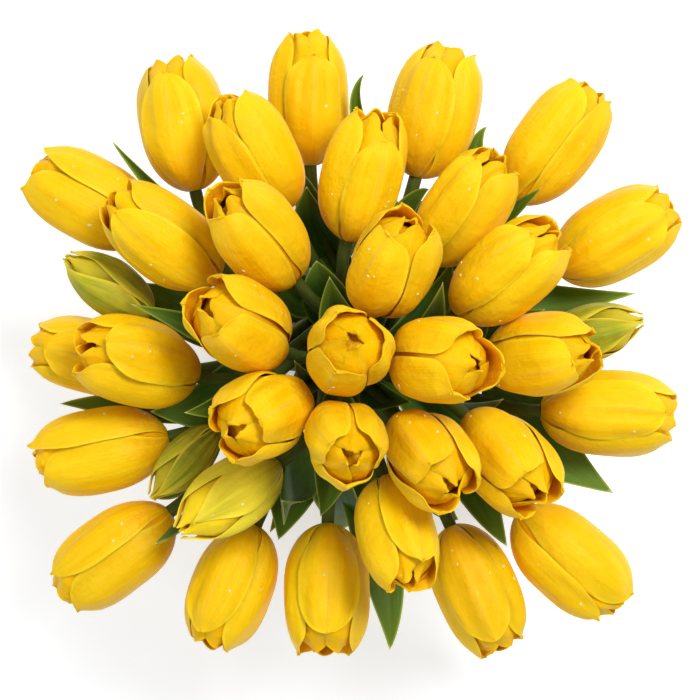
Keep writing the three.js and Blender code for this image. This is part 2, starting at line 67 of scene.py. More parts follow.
# Every flower: name, middle, heading, tilt, length, radius, roll, reach of each outer petal, openness
BLOOMS = [
    ("far_top_left", (-76, 100, 156), 101, 86, 64, 20.5, 167, (0.88, 0.98, 0.96), 0.35),
    ("top", (-18, 112, 156), 91, 86, 64, 19, -173, (0.8, 0.95, 0.97), 0.3),
    ("top_right", (39, 106, 158), 75, 86, 65, 21, 160, (0.86, 0.95, 0.98), 0.35),
    ("far_top_right", (95, 91, 154), 55, 88, 66, 19, -127, (0.95, 0.9, 0.93), 0.4),
    ("right_upper", (123, 48, 156), 30, 86, 64, 19.5, -170, (0.88, 0.97, 0.95), 0.35),
    ("left_upper", (-119, 65, 152), 152, 86, 65, 20, 120, (0.97, 0.95, 0.96), 0.45),
    ("upper_left", (-42, 84, 188), 119, 70, 62, 19, 130, (0.92, 0.95, 0.97), 0.35),
    ("upper", (7, 74, 190), 75, 70, 63, 19, -157, (0.84, 0.97, 0.95), 0.45),
    ("upper_right", (52, 60, 183), 55, 70, 62, 18.5, 145, (0.9, 0.95, 0.95), 0.4),
    ("right_of_upper", (70, 31, 201), 40, 65, 63, 19, 150, (0.9, 0.96, 0.96), 0.45),
    ("left_of_upper", (-83, 46, 184), 142, 72, 64, 19.5, 160, (0.93, 0.95, 0.97), 0.4),
    ("inner_upper_left", (-40, 46, 215), 130, 52, 62, 19.3, 134, (0.92, 0.97, 0.95), 0.45),
    ("inner_upper", (19, 33, 228), 66, 45, 60, 19, 153, (0.9, 0.96, 0.92), 0.45),
    ("green_bud_left", (-110, 26, 160), 145, 84, 50, 13, 120, (0.98, 0.96, 0.98), 0.05),
    ("left_low", (-118, -7, 146), 170, 88, 62, 18, -180, (0.86, 0.96, 0.96), 0.45),
    ("left", (-95, -9, 184), 165, 63, 62, 20, -155, (0.86, 0.95, 0.95), 0.55),
    ("inner_left", (-47, 7, 225), 148, 40, 60, 19.3, 147, (0.88, 0.94, 0.92), 0.6),
    ("crown", (0, -5, 247), 67, 13, 58, 18.5, 172, (0.9, 0.9, 0.92), 0.65),
    ("inner_right", (40, -9, 234), -5, 36, 58, 19, -125, (0.88, 0.95, 0.9), 0.75),
    ("right", (86, -7, 196), 6, 52, 60, 19, -155, (0.9, 0.92, 0.95), 0.4),
    ("green_bud_right", (113, 4, 158), 15, 85, 50, 13.5, -172, (0.96, 0.96, 0.98), 0.05),
    ("far_right", (120, -33, 158), -2, 88, 65, 20, 172, (0.88, 0.95, 0.98), 0.4),
    ("left_lower", (-114, -50, 156), 191, 88, 65, 19.5, 120, (0.93, 1, 0.95), 0.4),
    ("inner_lower_left", (-37, -32, 234), 209, 32, 58, 19, 176, (0.9, 0.9, 0.9), 0.55),
    ("crown_lower", (-1, -43, 246), -67, 17, 56, 17.7, -150, (0.92, 0.86, 0.92), 0.5),
    ("inner_lower_right", (35, -51, 225), -52, 35, 60, 19, -175, (0.88, 0.92, 0.94), 0.6),
    ("lower_right", (70, -53, 199), -48, 48, 62, 19.5, 170, (0.88, 0.93, 0.97), 0.6),
    ("green_bud_lower_left", (-75, -56, 167), 226, 84, 46, 11, 160, (0.98, 0.97, 0.97), 0.05),
    ("lime_bud_lower_left", (-54, -70, 196), 214, 74, 58, 16, -180, (0.86, 0.97, 0.97), 0.12),
    ("far_lower_left", (-108, -98, 156), 217, 88, 66, 19.5, -131, (0.92, 0.98, 0.94), 0.35),
    ("bottom_left", (-54, -113, 158), 248, 80, 62, 19, -160, (0.9, 0.96, 0.96), 0.3),
    ("bottom", (-10, -114, 160), 269, 80, 62, 20, 175, (0.84, 0.98, 0.98), 0.6),
    ("lower", (22, -85, 206), -75, 58, 58, 18, 150, (0.88, 0.95, 0.92), 0.5),
    ("bottom_right", (59, -114, 158), -67, 84, 64, 19, -173, (0.88, 0.98, 0.96), 0.45),
    ("far_bottom_right", (102, -101, 156), -42, 88, 66, 20, 120, (0.98, 0.92, 0.94), 0.3),
]
GREEN_BUDS = ("green_bud_left", "green_bud_right", "green_bud_lower_left")
LIME_BUDS = ("lime_bud_lower_left",)

# Stems: a spiral sheaf, narrowest at the tie
STEM_RADIUS = 3.0
STEM_SWELL = 0.02  # how much a stem's radius rises and falls along it, beside itself
STEM_SWELLS = 9  # how often it does, in radians
STEM_SWELL_SHIFT = 6  # how far that differs from stem to stem
WAIST_HEIGHT = 108
SPIRAL = 0.035  # slant at the tie for each millimetre from its axis
TWIST = 25  # where the stems of a ring are counted from
RISE = 0.45  # how long a stem keeps its slant above the tie, beside the way to its flower
BEND = 0.35  # how long it keeps the flower's direction under it
SEAT_GAP = 0.3  # between the end of a stem's curve and its flower's foot
STEM_IN_FLOWER = 2.5  # how far a stem's end goes up between the petals' feet

# Every ring of stems: name of its nodes, radius at the tie, stems, stems in a node, space between those
RINGS = [
    ("stem_middle", 0, 1, 1, 0),
    ("stem_inner", 7, 6, 1, 0),
    ("stem_pair_second_ring", 13.6, 12, 2, 5.2),
    ("stem_pair_outer", 20.2, 16, 2, 5.6),
]

# Every leaf: flower whose stem it grows on, how far up, width, fold, turn, bending point, tip
LEAVES = [
    ("far_top_left", 0.5, 12, 25, 50, (-84, 65, 160), (-106, 89, 173)),
    ("top", 0.25, 15, 20, 0, (-23, 72, 162), (-22, 77, 164)),
    ("top", 0.3, 27, 25, 25, (-16, 52, 163), (-19, 69, 172)),
    ("top_right", 0.6, 11, 30, 0, (-7, 103, 165), (7, 119, 180)),
    ("far_top_right", 0.35, 13, 30, 0, (68, 54, 163), (86, 68, 180)),
    ("far_top_right", 0.6, 13, 30, 0, (50, 88, 147), (64, 99, 143)),
    ("right_upper", 0.35, 24, 15, 0, (64, 14, 126), (133, 22, 141)),
    ("upper_left", 0.25, 19, 15, 0, (-20, 6, 151), (-36, 32, 186)),
    ("upper", 0.1, 15, 20, 0, (26, 67, 164), (36, 68, 171)),
    ("right_of_upper", 0.45, 15, 25, 0, (37, 3, 200), (40, 24, 232)),
    ("inner_upper_left", 0.25, 24, 15, 0, (-13, 24, 190), (-14, 35, 193)),
    ("inner_upper", 0.5, 25, 35, -5, (-8, 9, 206), (-8, 27, 220)),
    ("green_bud_left", 0.4, 26, 12, 0, (-79, 13, 135), (-98, 27, 143)),
    ("green_bud_left", 0.55, 12, 15, 0, (-65, 6, 152), (-96, 16, 185)),
    ("left", 0.45, 18, 35, 0, (-51, -30, 208), (-70, -31, 222)),
    ("left", 0.5, 28, 12, 0, (-58, -34, 146), (-89, -32, 168)),
    ("right", 0.15, 20, 15, 0, (41, 11, 154), (47, 36, 160)),
    ("right", 0.35, 19, 15, 0, (55, -5, 144), (63, 10, 178)),
    ("green_bud_right", 0.4, 11, 20, 0, (76, 10, 168), (88, 14, 173)),
    ("far_right", 0.3, 20, 25, -5, (46, -41, 122), (68, -26, 192)),
    ("far_right", 0.7, 36, 15, 25, (79, -47, 129), (122, -70, 145)),
    ("left_lower", 0.45, 16, 20, 0, (-106, -28, 119), (-133, -29, 142)),
    ("left_lower", 0.6, 11, 20, 0, (-70, -74, 148), (-91, -72, 141)),
    ("inner_lower_left", 0.5, 14, 35, 0, (-17, -22, 200), (-23, -9, 222)),
    ("crown_lower", 0.75, 24, 40, 0, (-6, -62, 200), (-12, -76, 212)),
    ("inner_lower_right", 0.4, 20, 40, 0, (13, -25, 188), (27, -27, 200)),
    ("lower_right", 0.35, 22, 20, 0, (60, -75, 152), (71, -92, 172)),
    ("far_lower_left", 0.55, 14, 25, 0, (-83, -91, 162), (-84, -89, 200)),
    ("bottom_left", 0.15, 16, 15, -5, (-23, -67, 118), (-37, -90, 121)),
    ("bottom_left", 0.35, 30, 12, 5, (-25, -66, 127), (-32, -91, 150)),
    ("bottom_left", 0.5, 27, 20, 0, (-17, -83, 175), (-29, -70, 202)),
    ("bottom", 0.2, 24, 15, 0, (22, -114, 120), (19, -142, 147)),
    ("bottom", 0.7, 22, 15, 15, (1, -76, 142), (-6, -90, 115)),
    ("bottom_right", 0.35, 17, 20, 0, (38, -78, 143), (51, -83, 134)),
]

# How fine the pieces are: points across and up a petal or leaf, and round and along the rest
OUTER_GRID = (25, 33)
INNER_GRID = (21, 27)
LEAF_GRID = (13, 41)
STEM_SIDES = 16
STEM_STEPS = 40
STEM_STEPS_BELOW = 8
THROAT_SIDES = 36
TWINE_SIDES = 12
TURN_STEPS = 90
KNOT_STEPS = 140
DROP_SIDES = 14
DROP_ROWS = 5
SHARP_ANGLE = 60  # faces that meet at more than this keep a crisp edge between them

# Petals, outer and inner
PETALS = 3  # in each of a flower's two rings
PETAL_TURN = 120  # from one petal of a ring to the next
PETAL_THICKNESS = (0.3, 1.0)  # at its edges and at its middle
EDGE_CROWDING = 1.4  # how much closer together the points across a petal are at its edges
LYING = (50, 86)  # tilt from which a flower begins to lie on its side, and where it does
LYING_OPENNESS = (0.12, 0.3)  # a closed bud isn't shaped as a flower that lies on its side
SPREAD = 0.1  # how much wider the tips stand in a flower that lies on its side
SWELL_WAVES = ((2.3, 3.1), (3.7, -4.3), (1.3, 7.1))  # how fast each slow swell goes across and up

# Outer petals: the one that lies over both others, and the ones whose sides go under it
FRONT_TILT = 55  # a flower that leans more shows the first of these to the sky
FRONT_HALF_ANGLE = 46
SIDE_HALF_ANGLE = (57, 80)  # away from the front petal, and towards it
FRONT_SHAPE = (0.6, 2.5, 0.5)  # share where the sides begin to close, and the powers that close them
SIDE_SHAPE = (0.76, 3.0, 0.38)
BUD_SHAPE = (0.3, 1.7, 0.8)
OUTER_END = 0.012  # least width of a petal's end, beside its greatest
FOOT_WIDTH = (0.8, 1.0)  # its width at its foot and above that, beside its greatest
FOOT_SPAN = (0, 0.35)
OUTER_LOOSENESS = (0.2, 1.6)  # how freely it folds and waves: closed, and added when open
FULLNESS = 0.985  # the petals' radius, beside the plain flower's: they are fuller only towards their tips
REACH = 0.967  # their height, beside the plain flower's
LEAST_RADIUS = 0.2

# How the outer petals lie round the flower, beside its radius
FRONT_EDGE = (0.95, 0.04)  # the edges' radius beside the middle's, and how much less it is at the top
SIDE_EDGE = (0.885, 0.13)
EDGE_CURVE = 2.8
CLOSING_SPAN = (0.5, 0.95)
UNDER_EDGE = 0.035  # how much further in the side that goes under another petal lies
UNDER_SPAN = (0.5, 0.9)  # across the petal
LOBES = 0.13  # how much further in the edges lie at the foot, which parts the petals there
LOBE_SPAN = (0.05, 0.5)  # where that fades

# Relief of the outer petals
KEEL_HEIGHT = 0.75  # the ridge along the midrib
KEEL_WIDTH = 0.12
KEEL_SPAN = (0.15, 0.6)
FLUTE_HEIGHT = (0.3, 1.05)  # the soft folds along a petal: low down, and towards its tip
FLUTE_COUNT = 2.6
FLUTE_SPAN = (0, 0.2)
FLUTE_GROWTH_SPAN = (0.4, 0.9)
FLUTE_EVENNESS = (0.35, 1.0)  # their strength at the foot and tip, and half way up
SWELLS = 0.65
EDGE_WAVE = 0.8
EDGE_WAVES = 6.5  # how often they go out and in up the edge, in radians
EDGE_WAVE_SLANT = 2  # how much earlier they do at one edge than at the middle
EDGE_WAVE_OUT = 0.2  # how much further the waves go out than in
EDGE_WAVE_POWER = 5  # how close to the edge they stay
EDGE_WAVE_SPAN = (0.3, 0.6)
EDGE_CALM = 0.6  # how much weaker the waves are at the tip
EDGE_CALM_SPAN = (0.9, 1)
LIP = 0.3  # how far the rim rolls out
LIP_ACROSS = (0.8, 1)
LIP_SPAN = (0.3, 0.6)
LIP_TOP_SPAN = (0.93, 1)

# Tips of the outer petals
TIP_CURL = (0.02, 0.07)  # how far the top of a petal bends in, and its very end, beside the flower's radius
CURL_SPAN = (0.7, 1)
END_CURL_SPAN = (0.84, 1)
END_CURL_POWER = 1.5
TIP_FLICK = (-0.4, 0.9)  # how far the last of the tip leans out
FLICK_SPAN = (0.85, 1)
TIP_LEAN = 4.0  # how far it leans to a side
TIP_POINT = (-0.9, 0.6)  # from the deepest notch in a petal's tip to the highest point on it
TIP_POINT_WIDTH = 0.22
TOP_WAVE = 0.6  # how uneven the top edge is
TOP_WAVES = 3.5
TOP_SPAN = (0.82, 1)

# Inner petals
UNDER_GAP = 1.25  # how far under the outer petals' faces they stay
UNDER_RISE = 14.0  # how much further out they may stand, for each half width past an outer petal's edge
UNDER_RISE_ABOVE = 4  # how many times sooner above its tip
INNER_HALF_ANGLE = 72
INNER_SHAPE = (0.8, 2.6, 0.45)
INNER_END = (0.6, 0.92)  # width of a petal's end in the mouth, beside its greatest: upright, and lying
INNER_SHARE = (0.93, 0.84)  # radius beside the outline's: in a closed bud and in an open flower
INNER_FOOT = 0.14  # how much less it is at the foot
INNER_FOOT_SPAN = (0.1, 0.55)  # where that fades
INNER_TIP = (0.16, 0.48)  # the outline's radius at the top: closed, and added when open
INNER_HEIGHT = (0.95, 0.985)  # where they end, beside the flower's length
INNER_RISE = 0.015  # how much higher they end in a flower that lies on its side
INNER_LOOSENESS = 2
INNER_KEEL_HEIGHT = 0.7
INNER_KEEL_WIDTH = 0.28
INNER_KEEL_GROWTH = (0.3, 1.0)  # strength of the keel low down, and in the mouth
INNER_SWELLS = 0.4
INNER_OVERLAP = (0.02, 0.1)  # how far one side lies over the next petal: low down, and in the mouth
INNER_WAVE = 0.35
INNER_WAVES = (3.5, 3)  # out and in, and up and down
INNER_ROUND = 0.055  # how much lower an inner petal's corners are than its middle
INNER_TOP_SPAN = (0.8, 1)
MOUTH_SPAN = (0.6, 1)
INNER_CLOSE = (0.6, 0.42)  # how far the tips bend together over the heart: upright, and lying
INNER_CLOSE_CHANGE = (0.7, 1.2)  # how much that differs from petal to petal
INNER_BEND = (0.74, 0.88)  # share of a petal where it begins to bend: upright, and lying

# Heart of a flower, which closes its mouth
THROAT_HEIGHT = 0.83
THROAT_RADIUS = 0.48
# Each ring's radius beside the heart's, and how far under its middle it lies
THROAT_RINGS = np.array([(1.0, 3.0), (0.75, 1.4), (0.45, 0.4), (0.2, 0.1), (0.02, 0.0)])
THROAT_FOLD = 1.0
THROAT_THICKNESS = 0.5
THROAT_MARKS = {"across": 0.0, "along": 0.8, "tone": 0.5, "layer": 1.0}

# Blades of the leaves
LEAF_THICKNESS = (0.35, 0.7)  # at its edges and at its midrib
LEAF_START = 0.3  # how long a leaf follows its stem, beside its length
LEAF_CROWDING = 1.25  # how much closer together the points along it are at its tip
LEAF_ROOT = 0.12
LEAF_FULLNESS = 0.6
LEAF_TAPER = 0.26  # how much sharper it runs out to its point
LEAF_TAPER_SPAN = (0.55, 1)
LEAF_POINT = 0.12
LEAF_ROUNDING = 0.1  # how round its fold is, beside its half width
LEAF_CREASE = 0.45  # how much deeper the fold is along its midrib
LEAF_WAVE = 0.035
LEAF_WAVES = 9
LEAF_WAVE_SHIFT = 1.3  # how far the waves of one side run ahead of the other's
LEAF_WAVE_SPAN = (0.1, 0.4)

# Twine
TIE_HEIGHT = 102
TIE_TURNS = 4
TIE_PITCH = 2.8
TIE_INSIDE = 25.4
TIE_GAP = 0.1
TWINE_RADIUS = 1.3
TWINE_PLY = 0.16  # how deep the groove between its two strands is, beside its radius
TWINE_TWIST = 0.11  # turns of the strands in each millimetre
TIE_TONE = 0.3
KNOT_TONE = 0.7
KNOT_SIZE = (6, 3.2, 4.6)

# Water drops
DROPS_ON_A_PETAL = (1, 6)
DROP_ACROSS = (-0.75, 0.75)
DROP_ALONG = (0.12, 0.85)
DROP_RADIUS = (0.28, 0.75)
DROP_HEIGHT = 0.6  # beside its radius
DROP_SINK = 0.05
DROP_FACING = 0.15  # a drop stays only where the petal faces at least this far up
DROP_FEEL = (0.02, 0.01)  # how far across and up from a drop the petal's slope is felt

# Marks at each point, which the materials read
CUT_MARK = -0.2  # what along says in the middle of a stem's cut end
TONE_APART = 37.0  # how far apart two pieces of unlike tone lie in the noise

# Streaks: how many there are across, and how often they change along. Patches: their size in metres.
STREAK_NOISE = {"Scale": 1.0, "Detail": 3.0, "Roughness": 0.6}
STREAK_SPAN = (0.32, 0.68)
MOTTLE_NOISE = {"Detail": 3.0, "Roughness": 0.55}
MOTTLE_SPAN = (0.35, 0.65)
PETAL_VEINS = (26.0, 2.2)
PETAL_BANDS = (5.0, 1.3)
PETAL_PATCHES = 0.012
PETAL_DIMPLES = 0.005
LEAF_VEINS = (30.0, 1.5)
LEAF_BANDS = (6.0, 2.0)
LEAF_PATCHES = 0.01
STEM_STREAKS = (9.0, 14.0)
STEM_PATCHES = 0.02
TWINE_FIBRES = (7.0, 160.0)

# Petal finishes
# In the yellow finish the darker Inner colour is painted shade and the pale edges are painted rim highlight
YELLOW_PETAL = {
    "Body": "f4bc00", "Deep": "e69c00", "Pale": "fcd024", "Rib": "cfa244", "Heart": "e89c06",
    "Inner": "f2b600", "Rib Width": 0.09, "Rib Strength": 0.45, "Edge Width": 0.14, "Foot Height": 0.42,
    "Tip Paleness": 0.3,
}
GREEN_BUD = {
    "Body": "98a226", "Deep": "4e5a0e", "Pale": "ecd23a", "Rib": "8a9c26", "Heart": "6a6010",
    "Inner": "c8b428", "Rib Width": 0.5, "Rib Strength": 0.5, "Edge Width": 0.2, "Foot Height": 0.75,
    "Tip Paleness": 0.9,
}
LIME_BUD = {
    "Body": "e6cf34", "Deep": "8f8f18", "Pale": "f8dc3c", "Rib": "cfc832", "Heart": "a88a10",
    "Inner": "fccb10", "Rib Width": 0.6, "Rib Strength": 0.5, "Edge Width": 0.3, "Foot Height": 0.5,
    "Tip Paleness": 0.8,
}
PETAL_SKIN = {
    "Subsurface Weight": 0.4, "Subsurface Radius": (1.0, 0.55, 0.04), "Subsurface Scale": 0.003,
    "Specular IOR Level": 0.09,
}
PETAL_RELIEF = 0.25
# How deep a petal's foot is: partly its own warmer base, partly painted shade
FOOT_DEEP_AND_SHADE = 0.9
VEIN_DEEP = 0.22
BAND_PALE = 0.35
PATCH_PALE = 0.15
# Pale edges: on the yellow flowers a painted highlight on the rims, on the buds their own pale margin
EDGE_PALE_AND_RIM_HIGHLIGHT = 0.85
RIB_SPAN = (0.25, 0.9)
PALE_TIP_SPAN = (0.7, 1.0)
# In the yellow finish the darker Inner colour is painted shade under the outer petals
INNER_TINT = 0.75
GROOVE_SHADE_SPAN = (0.4, 0.8)
GROOVE_SHADE_TINT = (0.8, 0.0)  # painted shade, in heart colour, on an inner petal where the outer ones cover it: low down and high up
HEART_SPAN = (0.7, 1.0)
HEART_TINT = (0.9, 0.35)  # heart colour on the inside of a petal, low down and at its tip
INSIDE_TINT = (0.3, 1.0)  # how much of that an outer and an inner petal take
PETAL_LIGHTNESS = (0.94, 1.05)
BAND_RELIEF = 2.0  # beside that of the veins
DIMPLE_RELIEF = 3.5
PETAL_ROUGHNESS = (0.38, 0.5)

# Leaf finish
# The Edge colour is a painted highlight along the leaf's rim
LEAF_GREEN = {
    "Body": "284a08", "Light": "466c10", "Wax": "5f8238", "Edge": "a4b644", "Point": "ddd49a",
    "Tip": "738c2c", "Edge Width": 1.3,
}
LEAF_SKIN = {"Specular IOR Level": 0.15}
LEAF_RELIEF = 0.3
LEAF_BAND_LIGHT = 0.5
LEAF_VEIN_LIGHT = 0.3
LEAF_TIP_SPAN = (0.6, 1.0)
LEAF_TIP_TINT = (0.0, 0.6)
WAX_BENEATH = (0.15, 0.45)  # on a leaf's underside, between patches and in them
WAX_TONES = (0.3, 1.0)
WAX_ALL_OVER = (0.05, 0.55)  # on the greenest leaf, and on the waxiest
WAX_IN_BANDS = (0.5, 1.0)
WAX_IN_PATCHES = (0.6, 1.0)
LEAF_EDGE_HIGHLIGHT_TINT = (0.85, 0.0)  # painted highlight along the rim: at the edge, and further in than the edge's width
LEAF_POINT_SPAN = (0.975, 1.0)
LEAF_POINT_TINT = (0.0, 0.8)
LEAF_ROUGHNESS = (0.36, 0.5)

# Stem, twine and water finishes
STEM_GREEN = {"Body": "566428", "Dark": "323a14", "Cut": "cfd69a"}
STEM_SKIN = {"Specular IOR Level": 0.05}
STEM_RELIEF = 0.3
STEM_STREAK_DARK = 0.4
STEM_PATCH_DARK = 0.45
CUT_SPAN = (-0.15, 0.0)  # where the colour of the cut end fades
STEM_ROUGHNESS = (0.4, 0.55)
RELIEF_DEPTH = 0.0003  # metres
TWINE_COLOURS = ("8a6c3e", "c9ae7c")
TWINE_SKIN = {"Roughness": 0.9, "Sheen Weight": 0.3}
TWINE_RELIEF = 0.8
TWINE_RELIEF_DEPTH = 0.0004  # metres
WATER_COLOUR = "fff0a8"
WATER_SKIN = {"Roughness": 0.05, "Specular IOR Level": 1.0, "Alpha": 0.75}

# The room, in metres
FLOOR_REACH = 12.0
FLOOR_SKIN = {
    "Base Color": (0.86, 0.89, 0.94, 1), "Roughness": 0.8, "Specular IOR Level": 0.1,
    "Emission Color": WHITE, "Emission Strength": 0.38,
}
# Every lamp: name, place, size, power
LAMPS = [
    ("key", (0.8, 0.9, 2.3), 1.2, 98.0),
    ("fill", (-1.3, -0.4, 2.2), 2.5, 32.0),
]
LAMPS_AIM_AT = (0.0, 0.0, 0.15)
SKY = 0.34

draw = np.random.default_rng(SEED)


# Points and faces


def smooth(low, high, value):
    """Goes softly from 0 to 1 as value goes from low to high."""
    share = np.clip((value - low) / (high - low), 0, 1)
    return share * share * (3 - 2 * share)


def between(ends, share):
    """The value at a share of the way between two ends."""
    first, last = ends
    return first + (last - first) * share


class Form:
    """Points and faces gathered into one piece, with the marks that its material reads at each point."""

    def __init__(self):
        self.points = []
        self.faces = []
        self.marks = []
        self.count = 0

    def add(self, points, blocks, marks):
        self.points.append(points)
        self.faces += [block + self.count for block in blocks]
        self.marks.append(marks)
        self.count += len(points)


def grid_faces(rows, columns, first=0):
    row, column = np.meshgrid(np.arange(rows - 1), np.arange(columns - 1), indexing="ij")
    corner = (first + row * columns + column).ravel()
    return np.stack([corner, corner + 1, corner + columns + 1, corner + columns], axis=1)


def rim_faces(rows, columns):
    """The faces that close the rim between two grids, the second right after the first."""
    bottom = np.arange(columns)
    top = (rows - 1) * columns + bottom
    left = np.arange(rows) * columns
    right = left + columns - 1
    rim = np.concatenate([bottom, right[1:], top[::-1][1:], left[::-1][1:]])
    other = rim + rows * columns
    return np.stack([rim[1:], rim[:-1], other[:-1], other[1:]], axis=1)


def shell(form, front, back, marks):
    """Adds the closed sheet between two grids of points."""
    rows, columns = front.shape[:2]
    faces = [
        grid_faces(rows, columns),
        grid_faces(rows, columns, rows * columns)[:, ::-1],
        rim_faces(rows, columns),
    ]
    both = {name: np.concatenate([values.ravel(), values.ravel()]) for name, values in marks.items()}
    both["inside"] = np.repeat([0.0, 1.0], rows * columns)
    form.add(np.concatenate([front.reshape(-1, 3), back.reshape(-1, 3)]), faces, both)


def closed_rings(form, rings, ends, marks):
    """Adds the closed skin over rings of points, with one point in the middle of each end."""
    steps, sides = len(rings), len(rings[0])
    column = np.arange(sides)
    following = (column + 1) % sides
    low = np.arange(steps - 1)[:, None] * sides
    high = low + sides
    around = np.stack([low + column, low + following, high + following, high + column], axis=-1)
    first, last = steps * sides, steps * sides + 1
    top = (steps - 1) * sides
    caps = np.concatenate([
        np.stack([following, column, np.full(sides, first)], axis=1),
        np.stack([top + column, top + following, np.full(sides, last)], axis=1),
    ])
    form.add(np.concatenate([*rings, ends]), [around.reshape(-1, 4), caps], marks)


def grid_normals(points):
    up = np.gradient(points, axis=0)
    across = np.gradient(points, axis=1)
    normal = np.cross(across, up)
    length = np.linalg.norm(normal, axis=2, keepdims=True)
    return normal / np.maximum(length, 1e-9)


def piece(name, form, material, nodes=()):
    """Makes one object of a form, and sets it on the bunch's body in place of its CAD nodes."""
    points = (np.concatenate(form.points) + CENTRING) * MM
    mesh = bpy.data.meshes.new(name)
    mesh.from_pydata(points.tolist(), [], [face for block in form.faces for face in block.tolist()])
    mesh.validate()
    for mark in form.marks[0]:
        values = np.concatenate([marks[mark] for marks in form.marks]).astype(np.float32)
        mesh.attributes.new(mark, "FLOAT", "POINT").data.foreach_set("value", values)
    mesh.shade_smooth()
    mesh.set_sharp_from_angle(angle=math.radians(SHARP_ANGLE))
    mesh.materials.append(material)
    thing = bpy.data.objects.new(name, mesh)
    bpy.context.scene.collection.objects.link(thing)
    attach(thing, "root")
    if nodes:
        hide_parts(*nodes)


# Curves


def unit(vector):
    vector = np.asarray(vector, float)
    return vector / np.linalg.norm(vector, axis=-1, keepdims=True)


def bezier(points, share):
    share = np.asarray(share, float)[..., None]
    rest = 1 - share
    a, b, c, d = points
    return rest**3 * a + 3 * rest**2 * share * b + 3 * rest * share**2 * c + share**3 * d


def bezier_direction(points, share):
    share = np.asarray(share, float)[..., None]
    rest = 1 - share
    a, b, c, d = points
    return unit(rest**2 * (b - a) + 2 * rest * share * (c - b) + share**2 * (d - c))


def ring_angles(sides):
    return np.arange(sides) * 2 * math.pi / sides


def tube(form, line, radius, sides, tone):
    """Adds a round closed tube along a line; radius has a row for each point, of one number or one a side."""
    direction = unit(np.gradient(line, axis=0))
    side = unit(np.cross(direction[0], (0.0, 1.0, 0.0) if abs(direction[0][1]) < 0.9 else (1.0, 0.0, 0.0)))
    angle = ring_angles(sides)
    rings = []
    for middle, ahead, reach in zip(line, direction, radius):
        side = unit(side - ahead * np.dot(side, ahead))
        around = np.outer(np.cos(angle), side) + np.outer(np.sin(angle), np.cross(ahead, side))
        rings.append(middle + around * reach[:, None])
    steps = len(line)
    marks = {
        "across": np.append(np.tile(angle / math.pi - 1, steps), [0.0, 0.0]),
        "along": np.append(np.repeat(np.linspace(0, 1, steps), sides), [CUT_MARK, 1.0]),
        "tone": np.full(steps * sides + 2, tone),
    }
    closed_rings(form, rings, [line[0], line[-1]], marks)


# Blooms


def outline(share, tip, curve):
    """Radius of a flower's outline at a share of its height, beside its greatest."""
    low = np.clip((WIDEST - share) / (WIDEST + FOOT_SHARE), 0, 1)
    high = np.clip((share - WIDEST) / (1 - WIDEST), 0, 1)
    return np.where(share < WIDEST, (1 - low ** FOOT_CURVE[0]) ** FOOT_CURVE[1], 1 - (1 - tip) * high**curve)


class Bloom:
    """One flower: where it stands, which way it leans, and its outer petals once they are made."""

    def __init__(self, name, at, heading, tilt, length, radius, roll, tips, openness):
        self.name = name
        self.length = length * REACH
        self.radius = radius
        self.roll = roll
        self.tips = tips
        self.openness = openness
        self.tilt = tilt
        heading, tilt = math.radians(heading), math.radians(tilt)
        self.along = np.array([
            math.cos(heading) * math.sin(tilt),
            math.sin(heading) * math.sin(tilt),
            math.cos(tilt),
        ])
        self.across = np.array([-math.sin(heading), math.cos(heading), 0.0])
        self.leaning = np.cross(self.across, self.along)
        self.foot = np.array(at, float) - self.along * length / 2
        self.is_bud = name in GREEN_BUDS + LIME_BUDS
        self.tip_curve = BUD_TIP_CURVE if self.is_bud else TIP_CURVE
        self.petals = []

    def lying(self):
        """From 0 for an upright flower or a closed bud to 1 for an open flower that lies on its side."""
        return float(smooth(*LYING, self.tilt) * smooth(*LYING_OPENNESS, self.openness))

    def place(self, radius, angle, height):
        """Points in the bunch, from a radius, an angle from the leaning side and a height up the flower."""
        return (
            self.foot
            + (radius * np.cos(angle))[..., None] * self.leaning
            + (radius * np.sin(angle))[..., None] * self.across
            + height[..., None] * self.along
        )


def spread_of(share, shape, least):
    """How wide a petal is at a share of its own height, beside its greatest width."""
    shoulder, first, second = shape
    above = np.clip((share - shoulder) / (1 - shoulder), 0, 1)
    return np.maximum((1 - above**first) ** second, least)


def swells(across, along, phase):
    """Slow rises and falls that make no two petals alike, from -1 to 1."""
    waves = [np.sin(wide * across + tall * along + start) for (wide, tall), start in zip(SWELL_WAVES, phase)]
    return sum(waves) / len(waves)


def ridge(across, height, width):
    """A rounded ridge along the middle of a petal."""
    return height * np.exp(-((across / width) ** 2))


def flutes(across, along, phase):
    """Soft folds that run up a petal, higher towards its tip."""
    height = between(FLUTE_HEIGHT, smooth(*FLUTE_GROWTH_SPAN, along))
    return height * np.cos(math.pi * FLUTE_COUNT * across + phase)


def front_petal(bloom):
    """Which outer petal lies over both others: the one that faces the sky, in a flower that leans far."""
    faces_up = [-math.cos(math.radians(bloom.roll + PETAL_TURN * index)) for index in range(PETALS)]
    return int(np.argmax(faces_up)) if bloom.tilt > FRONT_TILT else None


def half_angles(front, index):
    """Degrees from an outer petal's middle to its left and its right edge."""
    away, towards = SIDE_HALF_ANGLE
    if front is None:
        return away, away
    if index == front:
        return FRONT_HALF_ANGLE, FRONT_HALF_ANGLE
    return (towards, away) if (index - 1) % PETALS == front else (away, towards)


def petal_shape(bloom, is_front):
    if bloom.is_bud:
        return BUD_SHAPE
    return FRONT_SHAPE if is_front else SIDE_SHAPE


def lip(across, along):
    """One at a petal's rim, from where its sides stand free, and nothing away from it."""
    sides = smooth(*LIP_ACROSS, np.abs(across)) * smooth(*LIP_SPAN, along)
    return np.maximum(sides, smooth(*LIP_TOP_SPAN, along))


